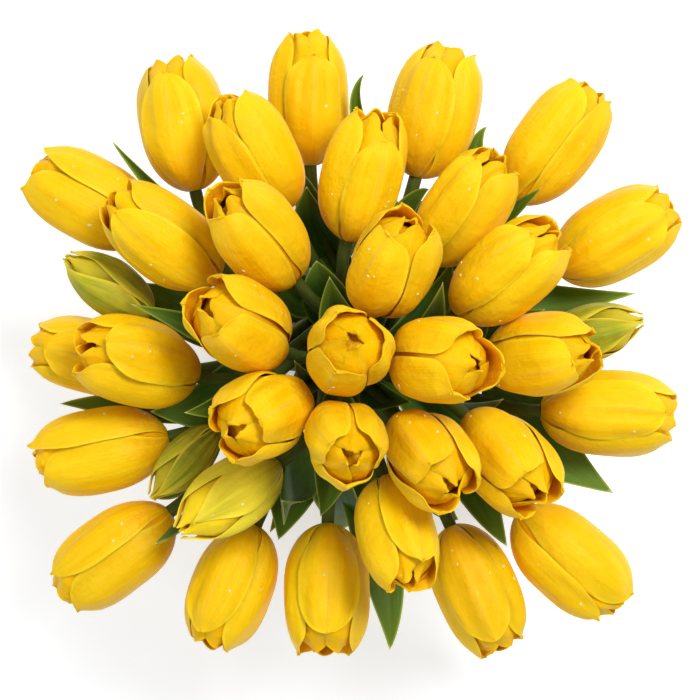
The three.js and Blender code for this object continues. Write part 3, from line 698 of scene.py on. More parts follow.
class OuterPetal:
    """One of the three petals outside, each at its own turn, with its own tip, folds and waves."""

    def __init__(self, bloom, index):
        self.bloom = bloom
        self.tip = bloom.tips[index]
        self.middle = math.radians(bloom.roll + PETAL_TURN * index)
        self.phase = draw.uniform(0, 2 * math.pi, 6)
        self.loose = min(1.0, OUTER_LOOSENESS[0] + OUTER_LOOSENESS[1] * bloom.openness)
        self.lean = math.radians(draw.uniform(-TIP_LEAN, TIP_LEAN))
        self.flick = draw.uniform(*TIP_FLICK) * self.loose
        self.notch = draw.uniform(*TIP_POINT) * self.loose
        self.reach = OUTER_TIP[0] + OUTER_TIP[1] * bloom.openness + SPREAD * bloom.lying()
        front = front_petal(bloom)
        self.shape = petal_shape(bloom, index == front)
        self.edge = FRONT_EDGE if index == front else SIDE_EDGE
        angles = half_angles(front, index)
        self.left, self.right = (math.radians(angle) for angle in angles)
        self.under = [UNDER_EDGE if angle > SIDE_HALF_ANGLE[0] else 0 for angle in angles]

    def narrowing(self, along):
        """Its width at a share of its own height, beside its greatest."""
        return spread_of(along, self.shape, OUTER_END) * between(FOOT_WIDTH, smooth(*FOOT_SPAN, along))

    def hug(self, across, along):
        """How far out it lies beside the flower's outline, which is less towards its edges."""
        at_edge = np.abs(across * self.narrowing(along)) ** EDGE_CURVE
        hug = 1 - (1 - self.edge[0]) * at_edge
        hug -= self.edge[1] * self.loose * at_edge * smooth(*CLOSING_SPAN, along)
        hug -= LOBES * across**2 * (1 - smooth(*LOBE_SPAN, along))
        return hug - np.where(across < 0, *self.under) * smooth(*UNDER_SPAN, np.abs(across))

    def relief(self, across, along):
        """Its midrib, folds, swells, waves and rolled rim."""
        place_across = across * self.narrowing(along)
        in_middle = np.sin(math.pi * along)
        folds = flutes(place_across, along, self.phase[0]) * between(FLUTE_EVENNESS, in_middle)
        near_edge = np.abs(across) ** EDGE_WAVE_POWER * smooth(*EDGE_WAVE_SPAN, along)
        near_edge *= 1 - EDGE_CALM * smooth(*EDGE_CALM_SPAN, along)
        waves = EDGE_WAVE_OUT + np.sin(EDGE_WAVES * along + self.phase[4] + EDGE_WAVE_SLANT * across)
        loosely = SWELLS * swells(across, along, self.phase[1:4]) * in_middle
        loosely += EDGE_WAVE * near_edge * waves + LIP * lip(across, along)
        keel = ridge(place_across, KEEL_HEIGHT, KEEL_WIDTH) * smooth(*KEEL_SPAN, along)
        return keel + folds * smooth(*FLUTE_SPAN, along) + self.loose * loosely

    def tip_bend(self, along):
        """How far the top of it leans from the outline: in, and with the last of the tip its own way."""
        curl = TIP_CURL[0] * smooth(*CURL_SPAN, along)
        curl += TIP_CURL[1] * smooth(*END_CURL_SPAN, along) ** END_CURL_POWER
        return self.flick * smooth(*FLICK_SPAN, along) ** 2 - self.bloom.radius * curl

    def radius(self, across, along):
        """How far its outer face stands from the flower's axis."""
        around = outline(self.tip * along, self.reach, self.bloom.tip_curve)
        radius = FULLNESS * self.bloom.radius * self.hug(across, along) * around
        return np.maximum(radius + self.relief(across, along) + self.tip_bend(along), LEAST_RADIUS)

    def face(self, across, along):
        """Points on its outer face, for places across it and up it."""
        half = np.where(across < 0, self.left, self.right)
        angle = self.middle + across * half * self.narrowing(along) + self.lean * along**2
        top = ridge(across, self.notch, TIP_POINT_WIDTH)
        top += TOP_WAVE * self.loose * np.sin(TOP_WAVES * across + self.phase[5])
        height = self.bloom.length * self.tip * along + top * smooth(*TOP_SPAN, along)
        return self.bloom.place(self.radius(across, along), angle, height)

    def room_under(self, angle, height):
        """The greatest radius that stays under this petal, which grows quickly past its edges."""
        along = height / self.tip
        lower = np.clip(along, 0, 1)
        turn = (angle - self.middle - self.lean * lower**2 + math.pi) % (2 * math.pi) - math.pi
        across = turn / (np.where(turn < 0, self.left, self.right) * self.narrowing(lower))
        past = np.maximum(np.abs(across) - 1, 0) + UNDER_RISE_ABOVE * np.maximum(along - 1, 0)
        return self.radius(np.clip(across, -1, 1), lower) - UNDER_GAP + UNDER_RISE * past


class InnerPetal:
    """One of the three petals inside: it stays under the outer ones, then bends in to the mouth."""

    def __init__(self, bloom, index):
        lying = bloom.lying()
        self.bloom = bloom
        self.middle = math.radians(bloom.roll + PETAL_TURN * (index + 0.5))
        self.phase = draw.uniform(0, 2 * math.pi, 6)
        self.tip = draw.uniform(*INNER_HEIGHT) + INNER_RISE * lying
        self.close = between(INNER_CLOSE, lying) * draw.uniform(*INNER_CLOSE_CHANGE)
        self.reach = INNER_TIP[0] + INNER_TIP[1] * bloom.openness + 2 * SPREAD * lying
        self.end = between(INNER_END, lying)
        self.bend_at = between(INNER_BEND, lying)
        self.loose = min(1.0, bloom.openness * INNER_LOOSENESS)
        self.share = between(INNER_SHARE, self.loose)

    def free_radius(self, across, along, in_mouth):
        """How far its outer face would stand from the flower's axis with nothing over it."""
        beside = self.share - INNER_FOOT * (1 - smooth(*INNER_FOOT_SPAN, along))
        radius = self.bloom.radius * beside * outline(self.tip * along, self.reach, self.bloom.tip_curve)
        keel = ridge(across, INNER_KEEL_HEIGHT, INNER_KEEL_WIDTH) * between(INNER_KEEL_GROWTH, in_mouth)
        swell = INNER_SWELLS * swells(across, along, self.phase[3:6]) * np.sin(math.pi * along)
        wave = INNER_WAVE * in_mouth * np.sin(INNER_WAVES[0] * across + self.phase[2])
        return radius + self.loose * (keel + swell + wave)

    def face(self, across, along):
        """Points on its outer face, for places across it and up it."""
        height = self.tip * along
        in_mouth = smooth(*MOUTH_SPAN, along)
        spread = math.radians(INNER_HALF_ANGLE) * spread_of(along, INNER_SHAPE, self.end)
        angle = self.middle + across * spread
        radius = self.free_radius(across, along, in_mouth)
        for petal in self.bloom.petals:
            radius = np.minimum(radius, petal.room_under(angle, height))
        radius *= 1 - between(INNER_OVERLAP, in_mouth) * (1 - across) / 2 * self.loose
        radius *= 1 - self.close * smooth(self.bend_at, 1, along)
        at_top = smooth(*INNER_TOP_SPAN, along)
        ragged = INNER_WAVE * self.loose * at_top * np.sin(INNER_WAVES[1] * across + self.phase[1])
        height *= 1 - INNER_ROUND * across**2 * at_top
        return self.bloom.place(radius, angle, self.bloom.length * height + ragged)


def add_throat(form, bloom):
    """The heart of the flower: a low folded dome, which shows orange through its mouth."""
    size = len(THROAT_RINGS), THROAT_SIDES + 1
    angle = np.tile(np.linspace(0, 2 * math.pi, size[1]), (size[0], 1))
    share, depth = THROAT_RINGS[:, :1], THROAT_RINGS[:, 1:]
    radius = bloom.radius * THROAT_RADIUS * share * np.ones(size)
    folds = THROAT_FOLD * share * np.cos(PETALS * angle + math.radians(bloom.roll))
    front = bloom.place(radius, angle, bloom.length * THROAT_HEIGHT - depth + folds)
    back = front - bloom.along * THROAT_THICKNESS
    shell(form, front, back, {mark: np.full(size, value) for mark, value in THROAT_MARKS.items()})
    form.marks[-1]["inside"][:] = 1.0


def petal_grid(size):
    """Places across and up a petal, closer together at its edges, foot and tip."""
    columns, rows = size
    across = np.sin(np.linspace(-1, 1, columns) * EDGE_CROWDING) / math.sin(EDGE_CROWDING)
    along = 0.5 - 0.5 * np.cos(np.linspace(0, math.pi, rows))
    return np.meshgrid(across, along)


def add_petal(form, petal, size, tone, layer):
    """Adds a petal, thick at its middle and thin at its edges; layer is 0 outside and 1 inside."""
    across, along = petal_grid(size)
    front = petal.face(across, along)
    thickness = between(PETAL_THICKNESS, 1 - np.abs(across) ** 3)
    back = front - grid_normals(front) * thickness[..., None]
    marks = {
        "across": across,
        "along": along,
        "tone": np.full(across.shape, tone),
        "layer": np.full(across.shape, layer),
    }
    shell(form, front, back, marks)


def bloom_form(bloom):
    """Three outer petals, three inner ones under them and the heart."""
    form = Form()
    for index in range(PETALS):
        petal = OuterPetal(bloom, index)
        bloom.petals.append(petal)
        add_petal(form, petal, OUTER_GRID, draw.uniform(0, 1), 0.0)
    for index in range(PETALS):
        add_petal(form, InnerPetal(bloom, index), INNER_GRID, draw.uniform(0, 1), 1.0)
    add_throat(form, bloom)
    return form


# Stems and leaves


def waist_point(radius, stems, together, spacing, place):
    """Where the stem at a place in its ring crosses the height of the tie."""
    groups = stems / together
    middle = 2 * math.pi * (place // together + (together - 1) / 4) / groups
    half = 0 if together == 1 else math.asin(spacing / 2 / radius)
    side = 0 if together == 1 else (place % 2) * 2 - 1
    angle = middle + side * half
    return np.array([radius * math.cos(angle), radius * math.sin(angle), WAIST_HEIGHT])


def turn_of(bloom):
    """How far round the bunch a flower's foot stands, counted from where the rings begin."""
    return (math.atan2(bloom.foot[1], bloom.foot[0]) - math.radians(TWIST)) % (2 * math.pi)


def stem_groups(blooms):
    """The CAD node of every stem, with the blooms and the waist points of its stems."""
    nearest = sorted(blooms, key=lambda bloom: math.hypot(bloom.foot[0], bloom.foot[1]))
    groups = []
    for name, radius, stems, together, spacing in RINGS:
        ring, nearest = sorted(nearest[:stems], key=turn_of), nearest[stems:]
        waists = [waist_point(radius, stems, together, spacing, place) for place in range(stems)]
        for first in range(0, stems, together):
            node = name if stems == 1 else f"{name}_{first // together + 1}"
            groups.append((node, list(zip(ring, waists))[first:first + together]))
    return groups


def stem_slope(waist):
    """A stem's direction at the tie and below it, for each millimetre of height."""
    return np.array([-SPIRAL * waist[1], SPIRAL * waist[0], 1.0])


def stem_curve(bloom, waist):
    """The four points that draw a stem from the tie to its flower."""
    top = bloom.foot - bloom.along * SEAT_GAP
    span = np.linalg.norm(top - waist)
    return waist, waist + unit(stem_slope(waist)) * RISE * span, top - bloom.along * BEND * span, top


def add_stem(form, bloom, waist, tone):
    """Adds a stem with its foot cut level on the ground."""
    slope = stem_slope(waist)
    below = waist - slope * np.linspace(WAIST_HEIGHT, 0, STEM_STEPS_BELOW)[:-1, None]
    above = bezier(stem_curve(bloom, waist), np.linspace(0, 1, STEM_STEPS))
    line = np.concatenate([below, above, [above[-1] + bloom.along * STEM_IN_FLOWER]])
    share = np.linspace(0, 1, len(line))
    radius = STEM_RADIUS * (1 + STEM_SWELL * np.sin(STEM_SWELLS * share + STEM_SWELL_SHIFT * tone))
    tube(form, line, radius[:, None], STEM_SIDES, tone)
    foot = form.points[-1][:STEM_SIDES]
    foot -= slope * foot[:, 2:3]


def carried_sides(direction):
    """The sideways direction at each step of a midrib: level at its tip, and carried down without a twist."""
    side = unit(np.cross(direction[-1], (0.0, 0.0, 1.0)))
    sides = []
    for step in direction[::-1]:
        side = unit(side - step * np.dot(side, step))
        sides.append(side)
    return np.array(sides[::-1])


def leaf_sides(direction, turn):
    """The directions across a leaf and out of its face, turned about its midrib."""
    side = carried_sides(direction)
    turn = -math.radians(turn)
    side = side * math.cos(turn) + np.cross(direction, side) * math.sin(turn)
    return side, np.cross(side, direction)


def leaf_midrib(curve, start, bend, tip):
    """The four points of a midrib: it sets out along its stem and goes by its bending point to its tip."""
    root = bezier(curve, start)
    length = np.linalg.norm(np.array(tip) - root)
    return root, root + bezier_direction(curve, start) * LEAF_START * length, np.array(bend), np.array(tip)


def leaf_half_width(width, share):
    """Half a leaf's width up its midrib, pointed at its tip."""
    fullness = LEAF_FULLNESS + LEAF_TAPER * smooth(*LEAF_TAPER_SPAN, share)
    half = width / 2 * np.sin(math.pi * between((LEAF_ROOT, 1), share)) ** fullness
    return np.maximum(half, LEAF_POINT)


def leaf_rise(across, along, fold, phase):
    """How far a leaf's face stands from the midrib's height, beside its half width."""
    rise = np.sqrt(across**2 + LEAF_ROUNDING**2) - LEAF_ROUNDING - LEAF_CREASE * (1 - across**2) ** 2
    waves = np.sin(LEAF_WAVES * along + phase + np.sign(across) * LEAF_WAVE_SHIFT)
    return rise * math.sin(fold) + LEAF_WAVE * across**2 * waves * smooth(*LEAF_WAVE_SPAN, along)


def add_leaf(form, curve, leaf):
    """Adds the leaf of one row of the table to the stem that the curve draws."""
    start, width, fold, turn, bend, tip = leaf[1:]
    midrib = leaf_midrib(curve, start, bend, tip)
    columns, rows = LEAF_GRID
    share = 1 - (1 - np.linspace(0, 1, rows)) ** LEAF_CROWDING
    side, up = leaf_sides(bezier_direction(midrib, share), turn)
    half = leaf_half_width(width, share)[:, None]
    phase = draw.uniform(0, 2 * math.pi, 2)
    across, along = np.meshgrid(np.linspace(-1, 1, columns), share)
    out = across * half * math.cos(math.radians(fold))
    rise = leaf_rise(across, along, math.radians(fold), phase[0]) * half
    front = bezier(midrib, share)[:, None] + out[..., None] * side[:, None] + rise[..., None] * up[:, None]
    back = front - up[:, None] * between(LEAF_THICKNESS, 1 - across**2)[..., None]
    marks = {
        "across": across,
        "along": along,
        "tone": np.full(across.shape, draw.uniform(0, 1)),
        "margin": (1 - np.abs(across)) * half,
    }
    shell(form, front, back, marks)


# Twine


def add_twine(form, line, tone):
    """Adds twine of two strands that wind round each other along a line."""
    step = np.linalg.norm(np.diff(line, axis=0), axis=1)
    length = np.concatenate([[0], np.cumsum(step)])
    turn = ring_angles(TWINE_SIDES) - length[:, None] * TWINE_TWIST * 2 * math.pi
    radius = TWINE_RADIUS * (1 - TWINE_PLY + TWINE_PLY * np.cos(2 * turn))
    tube(form, line, radius, TWINE_SIDES, tone)


def twine_form():
    """The turns of the tie, and in front of them the knot, a trefoil."""
    form = Form()
    around = TIE_INSIDE + TWINE_RADIUS + TIE_GAP
    angle = np.linspace(0, TIE_TURNS, TIE_TURNS * TURN_STEPS) * 2 * math.pi - math.pi / 2
    rise = TIE_TURNS * TIE_PITCH / 2 - TWINE_RADIUS
    height = np.linspace(TIE_HEIGHT - rise, TIE_HEIGHT + rise, len(angle))
    add_twine(form, np.stack([around * np.cos(angle), around * np.sin(angle), height], axis=1), TIE_TONE)
    share = np.linspace(0, 2 * math.pi, KNOT_STEPS)
    trefoil = np.stack([
        (np.sin(share) + 2 * np.sin(2 * share)) / 3,
        np.sin(3 * share),
        (np.cos(share) - 2 * np.cos(2 * share)) / 3,
    ], axis=1)
    middle = np.array([0.0, -TIE_INSIDE - KNOT_SIZE[1], TIE_HEIGHT])
    add_twine(form, middle + trefoil * (np.array(KNOT_SIZE) - TWINE_RADIUS), KNOT_TONE)
    return form


# Water drops


def add_drop(form, petal, across, along, radius):
    """Adds a low round drop on a petal's face."""
    here = petal.face(across, along)[0]
    up = petal.face(across, along + DROP_FEEL[1])[0] - here
    side = petal.face(across + DROP_FEEL[0], along)[0] - here
    normal = unit(np.cross(side, up))
    side = unit(side)
    angle = ring_angles(DROP_SIDES)[:, None]
    ring = np.cos(angle) * side + np.sin(angle) * np.cross(normal, side)
    foot = here - normal * DROP_SINK
    rows = [
        foot + ring * radius * math.cos(lift) + normal * radius * DROP_HEIGHT * math.sin(lift)
        for lift in np.linspace(0, math.pi / 2, DROP_ROWS + 1)[:-1]
    ]
    closed_rings(form, rows, [foot, foot + normal * radius * DROP_HEIGHT], {})


def drops_form(blooms):
    """Drops all over the outer petals, wherever these face up."""
    form = Form()
    for bloom in blooms:
        for petal in bloom.petals:
            for _ in range(draw.integers(*DROPS_ON_A_PETAL)):
                across, along = draw.uniform(*DROP_ACROSS, 1), draw.uniform(*DROP_ALONG, 1)
                radius = draw.uniform(*DROP_RADIUS)
                spot = petal.face(across, along)[0] - bloom.foot
                outward = unit(spot - bloom.along * np.dot(spot, bloom.along))
                if outward[2] > DROP_FACING:
                    add_drop(form, petal, across, along, radius)
    return form


# Nodes


def colour(code):
    """A colour as the shaders take it, from its six usual letters and digits."""
    levels = [int(code[i:i + 2], 16) / 255 for i in (0, 2, 4)]
    return tuple(c / 12.92 if c <= 0.04045 else ((c + 0.055) / 1.055) ** 2.4 for c in levels) + (1.0,)


def fill(tree, socket, value):
    """Gives an input a value, or links an output to it."""
    if isinstance(value, bpy.types.NodeSocket):
        tree.links.new(value, socket)
    else:
        socket.default_value = value


def put(tree, kind, inputs, **settings):
    """A node with its settings and its inputs filled."""
    node = tree.nodes.new(kind)
    for name, value in settings.items():
        setattr(node, name, value)
    for name, value in inputs.items():
        fill(tree, node.inputs[name], value)
    return node


def reckon(tree, operation, *values):
    """The result of one step of arithmetic."""
    return put(tree, "ShaderNodeMath", dict(enumerate(values)), operation=operation).outputs[0]


def times(tree, *values):
    """The product of all the values."""
    product = values[0]
    for value in values[1:]:
        product = reckon(tree, "MULTIPLY", product, value)
    return product


def ramp(tree, value, span, ends=ZERO_TO_ONE):
    """Goes smoothly from one end to the other as value goes over the span."""
    inputs = {"Value": value, "From Min": span[0], "From Max": span[1], "To Min": ends[0], "To Max": ends[1]}
    return put(tree, "ShaderNodeMapRange", inputs, interpolation_type="SMOOTHSTEP").outputs["Result"]


class Paint:
    """A colour in a node tree, over which coats of others are laid one by one."""

    def __init__(self, tree, under):
        self.tree = tree
        self.colour = under

    def coat(self, over, *shares):
        """Lays a colour over what is there, as strongly as the product of the shares."""
        inputs = {0: times(self.tree, *shares), 6: self.colour, 7: over}
        self.colour = put(self.tree, "ShaderNodeMix", inputs, data_type="RGBA").outputs[2]


def new_group(name, numbers, colours=(), outputs=("Mask",)):
    """An empty node group with named sockets, and its input and output nodes' sockets."""
    tree = bpy.data.node_groups.new(name, "ShaderNodeTree")
    for label in (*numbers, *colours):
        kind = "NodeSocketColor" if label in colours else "NodeSocketFloat"
        socket = tree.interface.new_socket(name=label, in_out="INPUT", socket_type=kind)
        socket.default_value = WHITE if label in colours else 0.0
    for label in outputs:
        kind = "NodeSocketColor" if label == "Color" else "NodeSocketFloat"
        tree.interface.new_socket(name=label, in_out="OUTPUT", socket_type=kind)
    return tree, tree.nodes.new("NodeGroupInput").outputs, tree.nodes.new("NodeGroupOutput").inputs


def streaks_group():
    """Lines that run up a petal, leaf or stem, each of its own strength."""
    tree, given, out = new_group("streaks", ("Across", "Along", "Tone", "Count", "Change"))
    place = put(tree, "ShaderNodeCombineXYZ", {
        "X": times(tree, given["Across"], given["Count"]),
        "Y": times(tree, given["Along"], given["Change"]),
        "Z": times(tree, given["Tone"], TONE_APART),
    }).outputs[0]
    noise = put(tree, "ShaderNodeTexNoise", {"Vector": place, **STREAK_NOISE}).outputs[0]
    fill(tree, out["Mask"], ramp(tree, noise, STREAK_SPAN))
    return tree


def mottle_group():
    """Soft patches of a given size all over a piece."""
    tree, given, out = new_group("mottle", ("Size",))
    place = put(tree, "ShaderNodeTexCoord", {}).outputs["Object"]
    scale = reckon(tree, "DIVIDE", 1.0, given["Size"])
    noise = put(tree, "ShaderNodeTexNoise", {"Vector": place, "Scale": scale, **MOTTLE_NOISE}).outputs[0]
    fill(tree, out["Mask"], ramp(tree, noise, MOTTLE_SPAN))
    return tree


def streaks_in(tree, streaks, marks, count, change):
    inputs = {label: marks[label] for label in ("Across", "Along", "Tone")}
    inputs.update({"Count": count, "Change": change})
    return put(tree, "ShaderNodeGroup", inputs, node_tree=streaks).outputs["Mask"]


def patches_in(tree, mottle, size):
    return put(tree, "ShaderNodeGroup", {"Size": size}, node_tree=mottle).outputs["Mask"]


def finish_group(name, marks, values):
    """An empty group for a finish, with a socket for each mark and for each value of the finish's table."""
    colours = [label for label, value in values.items() if isinstance(value, str)]
    numbers = marks + tuple(label for label in values if label not in colours)
    return new_group(name, numbers, colours, ("Color", "Height", "Roughness"))


# Finishes


def petal_group(streaks, mottle):
    """A petal's colours: deep at its foot, partly as painted shade, and in its veins; pale along its edges
    and tip, on the yellow flowers partly as painted rim highlight; a tinted midrib; and painted shade on the
    inner petals.
    """
    marks = ("Across", "Along", "Tone", "Layer", "Inside")
    tree, given, out = finish_group("petal_colours", marks, YELLOW_PETAL)
    along, layer = given["Along"], given["Layer"]
    veins = streaks_in(tree, streaks, given, *PETAL_VEINS)
    bands = streaks_in(tree, streaks, given, *PETAL_BANDS)
    side = reckon(tree, "ABSOLUTE", given["Across"])
    edge_from = reckon(tree, "SUBTRACT", 1.0, given["Edge Width"])
    rib = ramp(tree, side, (0.0, given["Rib Width"]), (1.0, 0.0))
    paint = Paint(tree, given["Body"])
    # Deeper at the foot: partly the petal's own warmer base, partly painted shade.
    paint.coat(given["Deep"], ramp(tree, along, (0.0, given["Foot Height"]), (FOOT_DEEP_AND_SHADE, 0.0)))
    paint.coat(given["Deep"], veins, VEIN_DEEP)
    paint.coat(given["Pale"], bands, BAND_PALE)
    paint.coat(given["Pale"], patches_in(tree, mottle, PETAL_PATCHES), PATCH_PALE)
    # Pale along the edges: on the yellow flowers a painted rim highlight, on the buds their own pale margin.
    paint.coat(given["Pale"], ramp(tree, side, (edge_from, 1.0)), EDGE_PALE_AND_RIM_HIGHLIGHT)
    paint.coat(given["Rib"], rib, ramp(tree, along, RIB_SPAN), given["Rib Strength"])
    # Paler towards the tip: on the buds their own pale tips, on the yellow flowers partly a painted highlight
    # along the top rim.
    paint.coat(given["Pale"], ramp(tree, along, PALE_TIP_SPAN), given["Tip Paleness"])
    # Painted shade on the inner petals: the yellow finish's darker Inner colour, and heart colour low down
    # where the outer petals cover them.
    paint.coat(given["Inner"], layer, INNER_TINT)
    paint.coat(given["Heart"], layer, ramp(tree, along, GROOVE_SHADE_SPAN, GROOVE_SHADE_TINT))
    heart = ramp(tree, along, HEART_SPAN, HEART_TINT)
    paint.coat(given["Heart"], given["Inside"], heart, ramp(tree, layer, ZERO_TO_ONE, INSIDE_TINT))
    lightness = ramp(tree, given["Tone"], ZERO_TO_ONE, PETAL_LIGHTNESS)
    shaded = put(tree, "ShaderNodeHueSaturation", {"Color": paint.colour, "Value": lightness})
    dimples = times(tree, patches_in(tree, mottle, PETAL_DIMPLES), DIMPLE_RELIEF)
    relief = reckon(tree, "ADD", times(tree, bands, BAND_RELIEF), dimples)
    fill(tree, out["Color"], shaded.outputs[0])
    fill(tree, out["Height"], reckon(tree, "ADD", veins, relief))
    fill(tree, out["Roughness"], ramp(tree, veins, ZERO_TO_ONE, PETAL_ROUGHNESS))
    return tree


def leaf_group(streaks, mottle):
    """A leaf's colours: dark above, waxy beneath, with pale veins and point, and a pale band along its edges
    that is painted highlight.
    """
    marks = ("Across", "Along", "Tone", "Inside", "Margin")
    tree, given, out = finish_group("leaf_colours", marks, LEAF_GREEN)
    along = given["Along"]
    veins = streaks_in(tree, streaks, given, *LEAF_VEINS)
    bands = streaks_in(tree, streaks, given, *LEAF_BANDS)
    patches = patches_in(tree, mottle, LEAF_PATCHES)
    waxy = times(
        tree,
        ramp(tree, given["Tone"], WAX_TONES, WAX_ALL_OVER),
        ramp(tree, bands, ZERO_TO_ONE, WAX_IN_BANDS),
        ramp(tree, patches, ZERO_TO_ONE, WAX_IN_PATCHES),
    )
    paint = Paint(tree, given["Body"])
    paint.coat(given["Light"], bands, LEAF_BAND_LIGHT)
    paint.coat(given["Light"], veins, LEAF_VEIN_LIGHT)
    paint.coat(given["Tip"], ramp(tree, along, LEAF_TIP_SPAN, LEAF_TIP_TINT))
    paint.coat(given["Wax"], given["Inside"], ramp(tree, patches, ZERO_TO_ONE, WAX_BENEATH))
    paint.coat(given["Wax"], waxy)
    # A pale band along the edge: painted highlight where the rim turns to the light.
    paint.coat(given["Edge"], ramp(tree, given["Margin"], (0.0, given["Edge Width"]), LEAF_EDGE_HIGHLIGHT_TINT))
    paint.coat(given["Point"], ramp(tree, along, LEAF_POINT_SPAN, LEAF_POINT_TINT))
    fill(tree, out["Color"], paint.colour)
    fill(tree, out["Height"], veins)
    fill(tree, out["Roughness"], ramp(tree, patches, ZERO_TO_ONE, LEAF_ROUGHNESS))
    return tree


def stem_group(streaks, mottle):
    """A stem's colours: streaked along its length, darker in patches, pale where it is cut."""
    tree, given, out = finish_group("stem_colours", ("Across", "Along", "Tone"), STEM_GREEN)
    lines = streaks_in(tree, streaks, given, *STEM_STREAKS)
    paint = Paint(tree, given["Body"])
    paint.coat(given["Dark"], lines, STEM_STREAK_DARK)
    paint.coat(given["Dark"], patches_in(tree, mottle, STEM_PATCHES), STEM_PATCH_DARK)
    paint.coat(given["Cut"], ramp(tree, given["Along"], CUT_SPAN, (1.0, 0.0)))
    fill(tree, out["Color"], paint.colour)
    fill(tree, out["Height"], lines)
    fill(tree, out["Roughness"], ramp(tree, lines, ZERO_TO_ONE, STEM_ROUGHNESS))
    return tree


def marks_of(tree, names):
    """The marks of a piece, under the names that the groups' sockets have."""
    return {
        name.capitalize(): put(tree, "ShaderNodeAttribute", {}, attribute_name=name).outputs["Fac"]
        for name in names
    }


def as_inputs(values):
    """A finish's table, with its colours as the shaders take them."""
    return {label: colour(value) if isinstance(value, str) else value for label, value in values.items()}


def empty_material(name):
    material = bpy.data.materials.new(name)
    material.use_nodes = True
    material.node_tree.nodes.clear()
    return material, material.node_tree


def add_skin(tree, inputs):
    skin = put(tree, "ShaderNodeBsdfPrincipled", inputs)
    put(tree, "ShaderNodeOutputMaterial", {"Surface": skin.outputs["BSDF"]})


def bumps(tree, height, strength, depth):
    inputs = {"Height": height, "Strength": strength, "Distance": depth}
    return put(tree, "ShaderNodeBump", inputs).outputs["Normal"]


def plant_material(name, group, marks, values, strength, skin):
    """A material whose colour, roughness and relief come from one group that reads the marks of its piece."""
    material, tree = empty_material(name)
    inputs = {**marks_of(tree, marks), **as_inputs(values)}
    finish = put(tree, "ShaderNodeGroup", inputs, node_tree=group).outputs
    add_skin(tree, {
        "Base Color": finish["Color"],
        "Roughness": finish["Roughness"],
        "Normal": bumps(tree, finish["Height"], strength, RELIEF_DEPTH),
        **skin,
    })
    return material


def twine_material(streaks):
    """Fibres that run along the twine, from brown to straw."""
    material, tree = empty_material("jute_twine")
    fibres = streaks_in(tree, streaks, marks_of(tree, ("across", "along", "tone")), *TWINE_FIBRES)
    paint = Paint(tree, colour(TWINE_COLOURS[0]))
    paint.coat(colour(TWINE_COLOURS[1]), fibres)
    normal = bumps(tree, fibres, TWINE_RELIEF, TWINE_RELIEF_DEPTH)
    add_skin(tree, {"Base Color": paint.colour, "Normal": normal, **TWINE_SKIN})
    return material


def plain_material(name, skin):
    material, tree = empty_material(name)
    add_skin(tree, skin)
    return material


# The room


def lamp(name, at, size, power):
    light = bpy.data.lights.new(name, "AREA")
    light.shape = "DISK"
    light.size = size
    light.energy = power
    thing = bpy.data.objects.new(name, light)
    thing.location = at
    aim = unit(np.array(LAMPS_AIM_AT) - np.array(at))
    thing.rotation_euler = (math.acos(-aim[2]), 0, math.atan2(aim[0], -aim[1]))
    bpy.context.scene.collection.objects.link(thing)


def lay_floor():
    mesh = bpy.data.meshes.new("floor")
    reach = FLOOR_REACH
    corners = [(-reach, -reach, 0), (reach, -reach, 0), (reach, reach, 0), (-reach, reach, 0)]
    mesh.from_pydata(corners, [], [(0, 1, 2, 3)])
    mesh.materials.append(plain_material("floor_white", FLOOR_SKIN))
    floor = bpy.data.objects.new("floor", mesh)
    bpy.context.scene.collection.objects.link(floor)


def light_room():
    world = bpy.data.worlds.new("studio")
    world.use_nodes = True
    sky = world.node_tree.nodes["Background"]
    sky.inputs["Color"].default_value = WHITE
    sky.inputs["Strength"].default_value = SKY
    bpy.context.scene.world = world
    for row in LAMPS:
        lamp(*row)


def place_camera():
    camera = bpy.data.objects.new("camera", bpy.data.cameras.new("camera"))
    camera.data.sensor_width = SENSOR
    camera.data.lens = SENSOR * FOCAL_WIDTH / PICTURE_WIDTH
    camera.data.clip_end = FARTHEST_SEEN
    camera.location = [value * MM for value in CAMERA_AT]
    bpy.context.scene.collection.objects.link(camera)
    bpy.context.scene.camera = camera
    bpy.context.scene.view_settings.view_transform = "Standard"


# The bunch


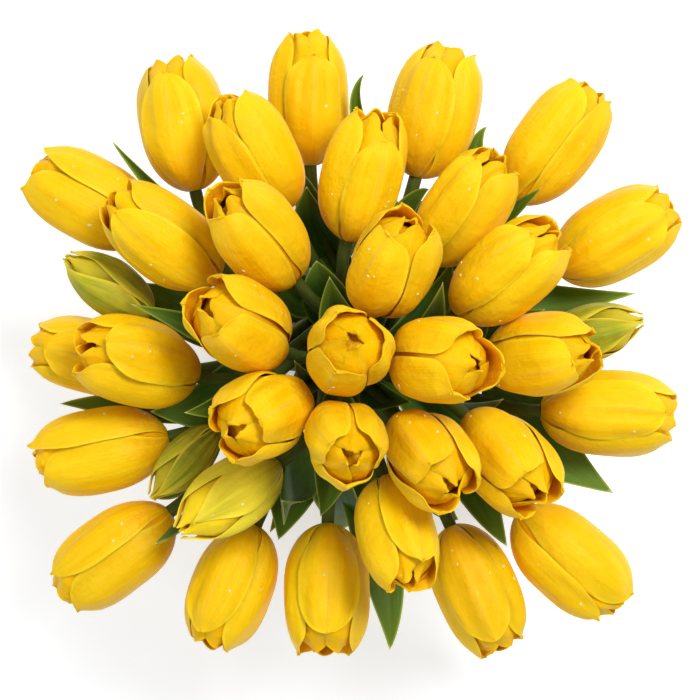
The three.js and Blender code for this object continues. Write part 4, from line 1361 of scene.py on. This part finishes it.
def dress_blooms(blooms, streaks, mottle):
    """Petals in place of every flower's solid, each in its own kind's finish."""
    petals = petal_group(streaks, mottle)
    marks = ("across", "along", "tone", "layer", "inside")

    def finish(name, values):
        return plant_material(name, petals, marks, values, PETAL_RELIEF, PETAL_SKIN)

    kinds = {
        "petal_yellow": finish("petal_yellow", YELLOW_PETAL),
        "bud_green": finish("petal_bud_green", GREEN_BUD),
        "bud_lime": finish("petal_bud_lime", LIME_BUD),
    }
    for bloom in blooms:
        slot = "petal_yellow"
        if bloom.is_bud:
            slot = "bud_green" if bloom.name in GREEN_BUDS else "bud_lime"
        piece(f"petals_{bloom.name}", bloom_form(bloom), kinds[slot], [f"bloom_{bloom.name}"])


def dress_stems(blooms, streaks, mottle):
    """Stalks in place of every node of stems, and the leaves that grow from them."""
    marks = ("across", "along", "tone")
    group = stem_group(streaks, mottle)
    stalk = plant_material("stem_green", group, marks, STEM_GREEN, STEM_RELIEF, STEM_SKIN)
    marks += ("inside", "margin")
    group = leaf_group(streaks, mottle)
    leaf = plant_material("leaf_green", group, marks, LEAF_GREEN, LEAF_RELIEF, LEAF_SKIN)
    for node, stems in stem_groups(blooms):
        form, blades = Form(), Form()
        for bloom, waist in stems:
            add_stem(form, bloom, waist, draw.uniform(0, 1))
            for row in LEAVES:
                if row[0] == bloom.name:
                    add_leaf(blades, stem_curve(bloom, waist), row)
        piece(node.replace("stem", "stalk"), form, stalk, [node])
        if blades.points:
            piece(node.replace("stem", "leaves"), blades, leaf, [node])


def dress_bunch():
    streaks, mottle = streaks_group(), mottle_group()
    blooms = [Bloom(*row) for row in BLOOMS]
    dress_blooms(blooms, streaks, mottle)
    dress_stems(blooms, streaks, mottle)
    piece("wound_twine", twine_form(), twine_material(streaks), ["twine_tie"])
    water = plain_material("water", {"Base Color": colour(WATER_COLOUR), **WATER_SKIN})
    piece("water_drops", drops_form([bloom for bloom in blooms if bloom.name not in GREEN_BUDS]), water)


dress_bunch()
lay_floor()
light_room()
place_camera()
